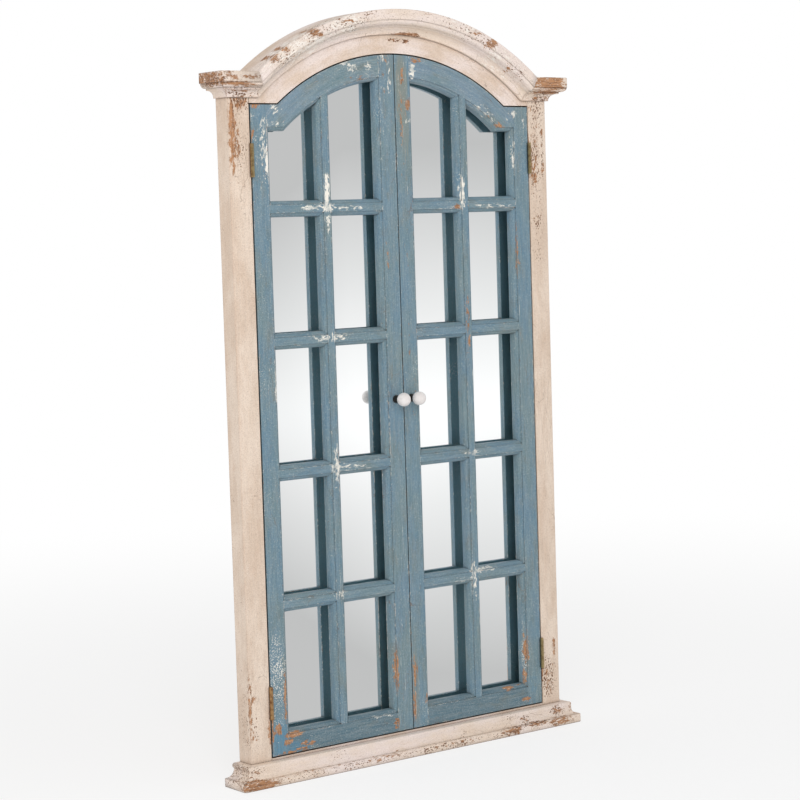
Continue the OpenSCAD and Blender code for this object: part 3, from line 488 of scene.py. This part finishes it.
POST_FLECKED = [
    (-298, 0, 90, 3, 9, 40, 0.24), (-292, 0, 960, 10, 9, 60, 0.24), (-310, 14, 90, 6, 14, 40, 0.14),
    (286, 0, 930, 13, 9, 56, 0.36), (288, 0, 80, 15, 12, 36, 0.42), (290, 0, 1010, 14, 12, 34, 0.28),
    (290, 0, 840, 10, 9, 60, 0.26), (302, 0, 950, 3, 30, 46, 0.36), (-292, 0, 1030, 16, 9, 14, 0.36),
]
CAP_FLECKED = [(-338, 0, 1060, 10, 50, 16, 0.42), (-290, -10, 1044, 44, 20, 8, 0.24),
               (300, -10, 1042, 40, 20, 8, 0.3)]
# Along the arch: (run from the middle, radius, half run, half radius, strength)
CORNICE_FLECKED = [(-130, 408, 110, 11, 0.25), (-215, 404, 26, 14, 0.34), (0, 408, 60, 9, 0.18),
                   (130, 408, 100, 10, 0.24), (225, 404, 20, 14, 0.18), (22, 381, 30, 4, 0.5)]
HEADER_FLECKED = [(4, 373, 14, 3, 0.56), (24, 372, 8, 4, 0.6)]
BASE_FLECKED = [
    (-330, 2, 22, 20, 50, 24, 0.36), (-312, -16, 26, 22, 12, 8, 0.3), (0, -22, 7, 340, 6, 6, 0.24),
    (-230, -22, 8, 60, 6, 6, 0.3), (222, -14, 20, 12, 12, 8, 0.44), (292, -14, 24, 16, 12, 9, 0.46),
    (240, -22, 13, 40, 8, 2, 0.5),
]


# ---------------------------------------------------------------- shapes

# In metres: front planes of the base and the caps, and how far aside their outer corners lie
BASE_FRONT = -0.02391
CAP_FRONT = -0.02841
CORNER_X = 0.3385
# Painted pieces of the frame whose arrises are worn back, and the corners to wear off: (side, front plane)
WORN_PIECES = {
    "left_post": (), "right_post": (), "arch_cornice": (),
    "base_front": ((-1, BASE_FRONT), (1, BASE_FRONT)),
    "left_base_return": ((-1, BASE_FRONT),), "right_base_return": ((1, BASE_FRONT),),
    "left_cap_front": ((-1, CAP_FRONT),), "left_cap_return": ((-1, CAP_FRONT),),
    "right_cap_front": ((1, CAP_FRONT),), "right_cap_return": ((1, CAP_FRONT),),
}
NEIGHBOURS = (*WORN_PIECES, "arched_header", "bottom_rail")
# Points this close are one, and faces that turn by less than this are one face
WELD = 2e-6
FLAT = math.radians(0.2)
# An edge wears if its faces turn by this much, if at this distance beside it no other piece is this near,
# and if each of its faces is this many times as wide as the worn arris
SHARP = math.radians(28)
BESIDE = 0.0006
TOUCHING = 0.0003
ROOM = 1.6
# Edges behind this depth stay sharp: on the cornice those at the header, elsewhere those at the back
CORNICE_DEPTH = -0.020
DEPTH = 0.025
# A worn piece is shaded smooth up to this angle
SMOOTH = math.radians(30)


def surfaces_of(nodes):
    """Search tree over the surfaces of some CAD nodes."""
    points, faces = [], []
    for node in nodes:
        mesh = CAD[node].data
        start = len(points)
        points.extend(vertex.co.copy() for vertex in mesh.vertices)
        faces.extend([start + corner for corner in face.vertices] for face in mesh.polygons)
    return BVHTree.FromPolygons(points, faces)


def wear_corner(shape, side, front, depth):
    """Cuts the upright corner at one side back to a small flat across the mitre."""
    outward = Vector((side, -1, 0)).normalized()
    cut = bmesh.ops.bisect_plane(
        shape, geom=shape.verts[:] + shape.edges[:] + shape.faces[:], dist=1e-6,
        plane_co=Vector((side * CORNER_X, front, 0)) - outward * depth, plane_no=outward, clear_outer=True)
    rim = [part for part in cut["geom_cut"] if isinstance(part, bmesh.types.BMEdge)]
    bmesh.ops.holes_fill(shape, edges=rim, sides=0)


def free_arrises(shape, others, width, deepest):
    """Outer edges in front of a depth that meet no other piece and have room for a worn arris of that width."""
    chosen = []
    for edge in shape.edges:
        if len(edge.link_faces) != 2 or not edge.is_convex or edge.calc_face_angle() < SHARP:
            continue
        middle = (edge.verts[0].co + edge.verts[1].co) / 2
        if middle.y > deepest:
            continue
        for loop in edge.link_loops:
            inward = loop.face.normal.cross(loop.link_loop_next.vert.co - loop.vert.co).normalized()
            touched = others.find_nearest(middle + inward * BESIDE, TOUCHING)[0] is not None
            if touched or loop.face.calc_area() / edge.calc_length() < ROOM * width:
                break
        else:
            chosen.append(edge)
    return chosen


def worn_piece(node, shapes):
    """A copy of a CAD node with its free arrises worn round, which stands for it."""
    shape = bmesh.new()
    shape.from_mesh(CAD[node].data)
    bmesh.ops.remove_doubles(shape, verts=shape.verts, dist=WELD)
    bmesh.ops.dissolve_limit(shape, angle_limit=FLAT, verts=shape.verts, edges=shape.edges)
    for side, front in WORN_PIECES[node]:
        wear_corner(shape, side, front, shapes.corner)
    others = surfaces_of(name for name in NEIGHBOURS if name != node)
    depth = CORNICE_DEPTH if node == "arch_cornice" else DEPTH
    bmesh.ops.bevel(
        shape, geom=free_arrises(shape, others, shapes.arris, depth), offset=shapes.arris, offset_type="OFFSET",
        segments=3, profile=0.5, affect="EDGES", clamp_overlap=False, loop_slide=True)
    bmesh.ops.triangulate(shape, faces=[face for face in shape.faces if len(face.verts) > 4])
    bmesh.ops.recalc_face_normals(shape, faces=shape.faces)
    mesh = bpy.data.meshes.new(f"worn_{node}")
    shape.to_mesh(mesh)
    shape.free()
    mesh.shade_smooth()
    mesh.set_sharp_from_angle(angle=SMOOTH)
    piece = new_object(f"worn_{node}", mesh)
    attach(piece, "frame")
    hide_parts(node)
    PIECES[node] = piece


# Kinds of screw: slot of its finish, head across, head depth, shank across and length
BOARD_SCREW = ("steel", 0.006, 0.0015, 0.003, 0.012)
LEAF_SCREW = ("hinge_brass", 0.0049, 0.00095, 0.003, 0.012)
KNOB_SCREW = ("steel", 0.008, 0.0024, 0.004, 0.0396)
# Place of each head and the way it faces: at the board's sides, foot and arch, and on the hangers
BACKWARD = (0, 1, 0)
BACK_Y = 0.031593
ARC_HEIGHT = 0.755014
ARC_RADIUS = 0.362986
BACK_SCREWS = (
    [((side * 0.284, BACK_Y, 0.0888 + 0.2094 * step), BACKWARD) for side in (-1, 1) for step in range(5)]
    + [((x, BACK_Y, 0.027), BACKWARD) for x in (-0.2222, 0.0, 0.2222)]
    + [((ARC_RADIUS * math.cos(angle), BACK_Y, ARC_HEIGHT + ARC_RADIUS * math.sin(angle)), BACKWARD)
       for angle in map(math.radians, (60, 75, 90, 105, 120))]
    + [((side * 0.30025, BACK_Y, 0.985 + rise), BACKWARD) for side in (-1, 1) for rise in (-0.018, 0.018)])
LEAF_HEIGHTS = (0.108, 0.138, 0.928, 0.958)
LEAF_Y = 0.005593
FRAME_LEAF_X = 0.27205
DOOR_LEAF_X = 0.27195


def leaf_screws(sides, x, turn):
    """Places of the screws of the hinge leaves at some sides. turn is 1 where they face outwards."""
    return [((side * x, LEAF_Y, height), (side * turn, 0, 0)) for side in sides for height in LEAF_HEIGHTS]


# CAD node, body, kind and places of each set of screws
SCREW_SETS = (
    ("back_screws", "frame", BOARD_SCREW, BACK_SCREWS),
    ("frame_leaf_screws", "frame", LEAF_SCREW, leaf_screws((-1, 1), FRAME_LEAF_X, -1)),
    ("left_door_leaf_screws", "left_door", LEAF_SCREW, leaf_screws((-1,), DOOR_LEAF_X, 1)),
    ("right_door_leaf_screws", "right_door", LEAF_SCREW, leaf_screws((1,), DOOR_LEAF_X, 1)),
    ("left_knob_screw", "left_door", KNOB_SCREW, [((-0.01525, 0.01799, 0.568), BACKWARD)]),
    ("right_knob_screw", "right_door", KNOB_SCREW, [((0.01525, 0.01799, 0.568), BACKWARD)]),
)
# Sizes that the node tree takes, sides of the head and the shank, arms of the cross in shares of the head's
# width, and the fewest faces of a whole screw
SCREW_SIZES = ("Head Across", "Head Depth", "Shank Across", "Length", "Recess Depth")
HEAD_SIDES = 32
SHANK_SIDES = 20
ARM_LONG = 0.62
ARM_WIDE = 0.15
FEWEST_FACES = 60


def screw_tree():
    """Geometry Nodes tree that sets a countersunk cross-head screw on every point of a mesh."""
    group = bpy.data.node_groups.new("countersunk screws", "GeometryNodeTree")
    group.is_modifier = True

    def socket(name, kind, way="INPUT"):
        return group.interface.new_socket(name, in_out=way, socket_type=f"NodeSocket{kind}")

    socket("Places", "Geometry")
    for name, usual in zip(SCREW_SIZES, (0.006, 0.0015, 0.003, 0.012, 0.0009)):
        size = socket(name, "Float")
        size.subtype, size.default_value, size.min_value = "DISTANCE", usual, 0.0
    socket("Seed", "Int").default_value = 5
    socket("Finish", "Material")
    socket("Screws", "Geometry", "OUTPUT")

    n = NodeTree(group)
    given = group.nodes.new("NodeGroupInput").outputs
    head_r = n.times(given["Head Across"], 0.5)
    shank_r = n.times(given["Shank Across"], 0.5)

    def at_height(mesh, z):
        return n.add("GeometryNodeTransform", {
            "Geometry": mesh, "Translation": n.add("CombineXYZ", {2: z})})

    head_back = n.times(given["Head Depth"], -1.0)
    head = at_height(n.add("GeometryNodeMeshCone", {
        "Vertices": HEAD_SIDES, "Radius Top": head_r, "Radius Bottom": shank_r,
        "Depth": given["Head Depth"]}), head_back)
    arms = []
    for across, along in ((ARM_LONG, ARM_WIDE), (ARM_WIDE, ARM_LONG)):
        size = n.add("CombineXYZ", {
            0: n.times(given["Head Across"], across), 1: n.times(given["Head Across"], along),
            2: n.times(given["Recess Depth"], 2.0)})
        arms.append(n.add("GeometryNodeMeshCube", {"Size": size}))
    cut = n.add("GeometryNodeMeshBoolean", {0: head, 1: arms}, operation="DIFFERENCE")
    ends = n.math("ADD", given["Head Depth"], given["Shank Across"])
    stem_length = n.math("SUBTRACT", given["Length"], ends)
    stem = n.add("GeometryNodeMeshCylinder", {"Vertices": SHANK_SIDES, "Radius": shank_r, "Depth": stem_length})
    stem = at_height(stem, n.times_plus(stem_length, -0.5, head_back))
    tip = n.add("GeometryNodeMeshCone", {
        "Vertices": SHANK_SIDES, "Radius Top": shank_r, "Radius Bottom": n.times(shank_r, 0.25),
        "Depth": given["Shank Across"]})
    tip = at_height(tip, n.times(given["Length"], -1.0))
    screw = n.add("GeometryNodeJoinGeometry", {0: [cut, stem, tip]})

    facing = n.add("GeometryNodeInputNamedAttribute", {"Name": "facing"}, data_type="FLOAT_VECTOR")
    upright = n.add("FunctionNodeAlignRotationToVector", {"Vector": facing}, axis="Z")
    spin = n.add("FunctionNodeRandomValue", {2: 0.0, 3: math.pi, "Seed": given["Seed"]}, 1, data_type="FLOAT")
    turned = n.add("FunctionNodeEulerToRotation", {0: n.add("CombineXYZ", {2: spin})})
    rotation = n.add("FunctionNodeRotateRotation", {"Rotation": upright, "Rotate By": turned},
                     rotation_space="LOCAL")
    points = n.add("GeometryNodeMeshToPoints", {"Mesh": given["Places"]})
    placed = n.add("GeometryNodeInstanceOnPoints", {"Points": points, "Instance": screw, "Rotation": rotation})
    solid = n.add("GeometryNodeRealizeInstances", {"Geometry": placed})
    finished = n.add("GeometryNodeSetMaterial", {"Geometry": solid, "Material": given["Finish"]})
    n.end("NodeGroupOutput", finished)
    return group


def set_screws(group, shapes, finishes, node, body, kind, places):
    """Runs the screw tree on the places of one set and keeps the result as a plain mesh."""
    slot, *sizes = kind
    mesh = bpy.data.meshes.new(f"{node}_places")
    mesh.from_pydata([place for place, facing in places], [], [])
    facings = mesh.attributes.new("facing", "FLOAT_VECTOR", "POINT")
    for item, (place, facing) in zip(facings.data, places):
        item.vector = facing
    piece = new_object(f"cross_head_{node}", mesh)
    modifier = piece.modifiers.new("screws", "NODES")
    modifier.node_group = group
    values = dict(zip(SCREW_SIZES, (*sizes, shapes.recess)), Seed=shapes.seed, Finish=finishes[slot])
    for item in group.interface.items_tree:
        if item.name in values:
            modifier[item.identifier] = values[item.name]
    result = bpy.data.meshes.new_from_object(piece.evaluated_get(bpy.context.evaluated_depsgraph_get()))
    piece.modifiers.clear()
    piece.data = result
    if len(result.polygons) < FEWEST_FACES * len(places):
        raise RuntimeError(f"{node}: the screws came out with {len(result.polygons)} faces")
    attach(piece, body)
    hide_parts(node)


# ---------------------------------------------------------------- pieces


class SHUTTER_OT_worn_edges(bpy.types.Operator):
    """Wear back the arrises and corners of the posts, the cornice, the caps and the base"""

    bl_idname = "shutter.worn_edges"
    bl_label = "Worn edges"

    def execute(self, context):
        for node in WORN_PIECES:
            worn_piece(node, context.scene.shutter_shapes)
        return {"FINISHED"}


class SHUTTER_OT_frame(bpy.types.Operator):
    """Paint the posts, the header, the bottom rail and the stop beads"""

    bl_idname = "shutter.frame"
    bl_label = "Painted frame"

    def execute(self, context):
        paint = context.scene.shutter_paint
        tones = (paint.cream, paint.cream_low, paint.cream_stain, paint.cream_under)
        rosy = (paint.cream_rose, *tones[1:])
        posts = painted_wood("worn cream on the posts", paint, tones, "up", bare=POST_BARE, flecked=POST_FLECKED,
                             specks=0.24, edge_tint=0.5, cracks=0.5, ribbing=0.16)
        calmer = {"specks": 0.16, "cracks": 0.4, "ribbing": 0.12}
        header = painted_wood("worn cream on the header", paint, rosy, "arch", flecked=HEADER_FLECKED, **calmer)
        rail = painted_wood("worn cream on the sill", paint, rosy, "across", **calmer)
        give(posts, "left_post", "right_post", "left_stop", "right_stop")
        give(header, "arched_header", "top_stop")
        give(rail, "bottom_rail", "bottom_stop")
        return {"FINISHED"}


class SHUTTER_OT_mouldings(bpy.types.Operator):
    """Paint the arched cornice, the caps of the posts and the base"""

    bl_idname = "shutter.mouldings"
    bl_label = "Painted mouldings"

    def execute(self, context):
        paint = context.scene.shutter_paint
        tones = (paint.cream_rose, paint.cream, paint.cream_low, paint.cream_under)
        pale = (paint.cream_rose, paint.cream, paint.cream, paint.cream_under)
        crown = painted_wood("worn cream on the cornice", paint, pale, "arch", rubbed=CORNICE_RUBBED,
                             bare=CORNICE_BARE, flecked=CORNICE_FLECKED, specks=0.22, coat_loss=0.46,
                             bare_loss=0.34, edge_tint=0.4, cracks=0.5, ribbing=0.14)
        caps = painted_wood("worn cream on the caps", paint, tones, "across", bare=CAP_BARE, flecked=CAP_FLECKED,
                            specks=0.28, coat_loss=0.48, bare_loss=0.40, edge_tint=0.5, ribbing=0.16)
        base = painted_wood("worn cream on the base", paint, tones, "across", bare=BASE_BARE, flecked=BASE_FLECKED,
                            specks=0.26, coat_loss=0.44, bare_loss=0.36, edge_tint=0.5, cracks=0.5, ribbing=0.14)
        give(crown, "arch_cornice")
        give(caps, "left_cap_front", "right_cap_front", "left_cap_return", "right_cap_return")
        give(base, "base_front", "left_base_return", "right_base_return")
        return {"FINISHED"}


class SHUTTER_OT_doors(bpy.types.Operator):
    """Paint the stiles, the rails and the glazing bars of both doors"""

    bl_idname = "shutter.doors"
    bl_label = "Painted doors"

    def execute(self, context):
        paint = context.scene.shutter_paint
        tones = (paint.blue, paint.blue_low, paint.blue_stain, paint.blue_under)
        faded = (paint.blue_pale, *tones[1:])
        greened = (paint.blue_deep, paint.blue_deep, *tones[2:])
        for side, *spots in (
                ("left", LEFT_RUBBED, LEFT_BARE, LEFT_SPECKLED, LEFT_FRESH, LEFT_WEATHERED),
                ("right", RIGHT_RUBBED, RIGHT_BARE, RIGHT_SPECKLED, RIGHT_FRESH, RIGHT_WEATHERED)):
            wear = dict(zip(("rubbed", "bare", "speckled", "fresh", "weathered"), spots),
                        cracks=0.5, scratches=0.8, back_shade_tone=paint.blue_back_shade, worn_sides=False)
            upright = painted_wood(f"worn blue on the {side} stiles", paint, tones, "up", **wear)
            level = painted_wood(f"worn blue on the {side} cross bars", paint, tones, "across", **wear)
            low = painted_wood(f"worn blue on the {side} bottom rail", paint, greened, "across", **wear)
            arched = painted_wood(f"worn blue on the {side} top rail", paint, faded, "arch", **wear)
            give(upright, *(f"{side}_{node}" for node in ("outer_stile", "meeting_stile", "upright_bar")))
            give(level, *(f"{side}_cross_bar_{number}" for number in (1, 2, 3, 4)))
            give(low, f"{side}_bottom_rail")
            give(arched, f"{side}_top_rail")
        return {"FINISHED"}


class SHUTTER_OT_glass(bpy.types.Operator):
    """Silver the mirror glass and finish the board behind it"""

    bl_idname = "shutter.glass"
    bl_label = "Mirror glass and back board"

    def execute(self, context):
        s = Shader("silvered glass")
        point = s.add("TexCoord", output="Object")
        wave = s.add("Bump", {"Strength": 0.03, "Distance": 0.001, "Height": s.noise(point, 2.2, 1.0)})
        haze = s.step(s.noise(point, 6.0, 4.0), 0.4, 0.8, 0.0, 0.012)
        silver = s.mix(s.step(s.noise(point, 3.0, 2.0), 0.3, 0.7), (0.93, 0.94, 0.94), (0.90, 0.915, 0.915))
        give(s.finish({"Base Color": silver, "Metallic": 1.0, "Roughness": haze, "Normal": wave}), "mirror_glass")

        s = Shader("raw back board")
        point = s.millimetres()
        fibres = s.noise(s.vector("MULTIPLY", point, (0.5, 1.0, 0.03)), 0.5, 6.0, 0.6)
        board = s.mix(s.step(fibres, 0.3, 0.7), (0.30, 0.19, 0.11), (0.42, 0.29, 0.18))
        board = s.mix(s.step(s.noise(point, 0.008, 3.0), 0.4, 0.7, 0.0, 0.4), board, (0.23, 0.15, 0.09))
        bump = s.add("Bump", {"Strength": 0.3, "Distance": 0.0004, "Height": fibres})
        give(s.finish({"Base Color": board, "Roughness": 0.75, "Normal": bump}), "back_panel")
        return {"FINISHED"}


class SHUTTER_OT_knobs(bpy.types.Operator):
    """Finish the round knobs and their stems"""

    bl_idname = "shutter.knobs"
    bl_label = "Knobs"

    def execute(self, context):
        ball = plain_finish("white knob", (0.82, 0.785, 0.765), (0.74, 0.69, 0.67), 0.28, 0.0, 0.12, relief=0.15)
        stem = plain_finish("black stem", (0.020, 0.018, 0.016), (0.045, 0.038, 0.032), 0.45, 0.6, 0.1)
        for side in ("left", "right"):
            give(ball, f"{side}_knob")
            give(stem, f"{side}_knob_stem")
        return {"FINISHED"}


class SHUTTER_OT_hinges(bpy.types.Operator):
    """Finish the hinges and their pins"""

    bl_idname = "shutter.hinges"
    bl_label = "Hinges"

    def execute(self, context):
        brass = plain_finish("tarnished brass", (0.52, 0.40, 0.20), (0.30, 0.20, 0.10), 0.32, 1.0, 0.25)
        rusted = plain_finish("rusted brass", (0.50, 0.31, 0.14), (0.24, 0.11, 0.045), 0.45, 0.7, 0.16)
        for node in CAD:
            if node.endswith("_leaf") or node == "hinge_pins":
                give(rusted if node.startswith("left_lower") else brass, node)
        return {"FINISHED"}


class SHUTTER_OT_fittings(bpy.types.Operator):
    """Finish the hangers, magnets and strikes and set all the screws"""

    bl_idname = "shutter.fittings"
    bl_label = "Steel fittings"

    def execute(self, context):
        steel = plain_finish("zinc plated steel", (0.55, 0.55, 0.56), (0.42, 0.42, 0.44), 0.3, 1.0, 0.2)
        brass = plain_finish("brass screw", (0.50, 0.38, 0.20), (0.32, 0.22, 0.11), 0.35, 1.0, 0.4)
        give(steel, "hangers", "catch_magnets", "left_strike", "right_strike")
        group = screw_tree()
        for screws in SCREW_SETS:
            set_screws(group, context.scene.shutter_shapes, {"steel": steel, "hinge_brass": brass}, *screws)
        return {"FINISHED"}


# ---------------------------------------------------------------- studio

# The floor fades from a pale grey to the white of the background between these distances from the middle
FLOOR_FADE = (0.5, 3.0)
# The mirror shows a soft bright band of the room, at this height of a ray of length 1, pale beyond its reach
BAND_HEIGHT = -0.083
BAND_SOFTNESS = 0.03
BAND_REACH = 0.118
BAND_BRIGHT, BAND_PALE, BAND_LEAST = 1.13, 0.575, 0.50
# It also fades where a ray goes less far to the right than start / slope
ASIDE_START, ASIDE_SLOPE = 0.53, 0.9
# Deeper glossy rays are light that the mirror throws on the backs of the doors
DIRECT_DEPTH = 2.5
# Key light: large and soft, from the front left and above
KEY_PLACE = (-2.0, -2.6, 2.2)
KEY_TARGET = (0, 0, 0.6)
KEY_ACROSS = 2.2
# Camera: to the left of the mirror and a little above its middle. Yaw, pitch and roll in degrees, sensor in
# millimetres
CAMERA_PLACE = (-2.11114, -2.75811, 0.84080)
CAMERA_TURN = (37.338, -4.5312, -1.7508)
SENSOR = 36.0
FAR = 500


def set_floor(radius):
    """A pale disc that fades to the white of the background."""
    mesh = bpy.data.meshes.new("floor")
    floor = new_object("floor", mesh)
    disc = bmesh.new()
    bmesh.ops.create_circle(disc, cap_ends=True, segments=96, radius=radius)
    disc.to_mesh(mesh)
    disc.free()
    s = Shader("pale floor")
    away = s.step(s.vector("LENGTH", s.add("TexCoord", output="Object")), *FLOOR_FADE, 0.65, 1.0)
    pale = s.add("BsdfDiffuse", {"Color": (0.93, 0.93, 0.93, 1)})
    white = s.add("Emission", {"Color": (1, 1, 1, 1), "Strength": 1.0})
    mesh.materials.append(s.finish(s.add("MixShader", {0: away, 1: pale, 2: white})))
    floor.visible_glossy = False


def set_room(scene, studio):
    """White behind the object, an even light all round, and the band that the mirror shows."""
    world = bpy.data.worlds.new("studio")
    scene.world = world
    world.use_nodes = True
    room = NodeTree(world.node_tree)
    ray = room.add("LightPath").node.outputs
    direction = room.add("TexCoord", output="Generated")
    across, _, height = room.add("SeparateXYZ", {0: direction}).node.outputs
    above = room.math("SUBTRACT", height, BAND_HEIGHT)
    from_band = room.math("SMOOTH_MAX", above, room.times(above, -1.0), BAND_SOFTNESS)
    aside = room.math("MAXIMUM", room.times_plus(across, -ASIDE_SLOPE, ASIDE_START), 0.0)
    band = room.add("MapRange", {
        "Value": room.math("ADD", from_band, aside), "From Min": 0.0, "From Max": BAND_REACH,
        "To Min": BAND_BRIGHT, "To Max": BAND_PALE})
    band = room.math("MAXIMUM", band, BAND_LEAST)
    shown = room.math("LESS_THAN", ray["Ray Depth"], DIRECT_DEPTH)
    mirrored = room.times_plus(shown, room.math("SUBTRACT", band, studio.behind), studio.behind)
    strength = room.times_plus(
        ray["Is Glossy Ray"], room.math("SUBTRACT", mirrored, studio.ambient), studio.ambient)
    strength = room.times_plus(ray["Is Camera Ray"], room.math("SUBTRACT", 1.0, strength), strength)
    background = room.add("Background", {"Color": (1, 1, 1, 1), "Strength": strength})
    room.end("ShaderNodeOutputWorld", background)


def set_key_light(power):
    light = bpy.data.lights.new("key", "AREA")
    light.shape = "DISK"
    light.size = KEY_ACROSS
    light.energy = power
    key = new_object("key", light)
    key.location = KEY_PLACE
    key.rotation_euler = (Vector(KEY_TARGET) - Vector(KEY_PLACE)).to_track_quat("-Z", "Y").to_euler()
    key.visible_glossy = False


def set_camera(scene, focal_length):
    lens = bpy.data.cameras.new("camera")
    lens.sensor_width = SENSOR
    lens.lens = focal_length
    lens.clip_end = FAR
    camera = new_object("camera", lens)
    yaw, pitch, roll = map(math.radians, CAMERA_TURN)
    ahead = Vector((math.sin(yaw) * math.cos(pitch), math.cos(yaw) * math.cos(pitch), math.sin(pitch)))
    right = Vector((math.cos(yaw), -math.sin(yaw), 0.0))
    up = right.cross(ahead)
    x_axis = math.cos(roll) * right + math.sin(roll) * up
    y_axis = -math.sin(roll) * right + math.cos(roll) * up
    turn = Matrix((x_axis, y_axis, -ahead)).transposed().to_4x4()
    camera.matrix_world = Matrix.Translation(CAMERA_PLACE) @ turn
    scene.camera = camera


class SHUTTER_OT_studio(bpy.types.Operator):
    """Set the floor, the light and the camera"""

    bl_idname = "shutter.studio"
    bl_label = "Studio"

    def execute(self, context):
        scene = context.scene
        studio = scene.shutter_studio
        scene.view_settings.view_transform = "Standard"
        scene.view_settings.look = "None"
        set_floor(studio.floor_radius)
        set_room(scene, studio)
        set_key_light(studio.key_power)
        set_camera(scene, studio.lens)
        return {"FINISHED"}


OPERATORS = (SHUTTER_OT_studio, SHUTTER_OT_worn_edges, SHUTTER_OT_frame, SHUTTER_OT_mouldings, SHUTTER_OT_doors,
             SHUTTER_OT_glass, SHUTTER_OT_knobs, SHUTTER_OT_hinges, SHUTTER_OT_fittings)


class SHUTTER_PT_panel(bpy.types.Panel):
    """Shows the settings and a button for each step"""

    bl_idname = "SHUTTER_PT_panel"
    bl_label = "Shutter Mirror"
    bl_space_type = "VIEW_3D"
    bl_region_type = "UI"
    bl_category = "Shutter Mirror"

    def draw(self, context):
        scene = context.scene
        for settings in (scene.shutter_paint, scene.shutter_shapes, scene.shutter_studio):
            box = self.layout.box()
            for name in settings.__annotations__:
                box.prop(settings, name)
        for operator in OPERATORS:
            self.layout.operator(operator.bl_idname)


CLASSES = (ShutterPaintSettings, ShutterShapeSettings, ShutterStudioSettings, *OPERATORS, SHUTTER_PT_panel)


def register():
    for cls in CLASSES:
        bpy.utils.register_class(cls)
    bpy.types.Scene.shutter_paint = bpy.props.PointerProperty(type=ShutterPaintSettings)
    bpy.types.Scene.shutter_shapes = bpy.props.PointerProperty(type=ShutterShapeSettings)
    bpy.types.Scene.shutter_studio = bpy.props.PointerProperty(type=ShutterStudioSettings)


def unregister():
    del bpy.types.Scene.shutter_studio
    del bpy.types.Scene.shutter_shapes
    del bpy.types.Scene.shutter_paint
    for cls in reversed(CLASSES):
        bpy.utils.unregister_class(cls)


def main():
    register()
    for operator in OPERATORS:
        group, name = operator.bl_idname.split(".")
        getattr(getattr(bpy.ops, group), name)()


if __name__ == "__main__":
    main()
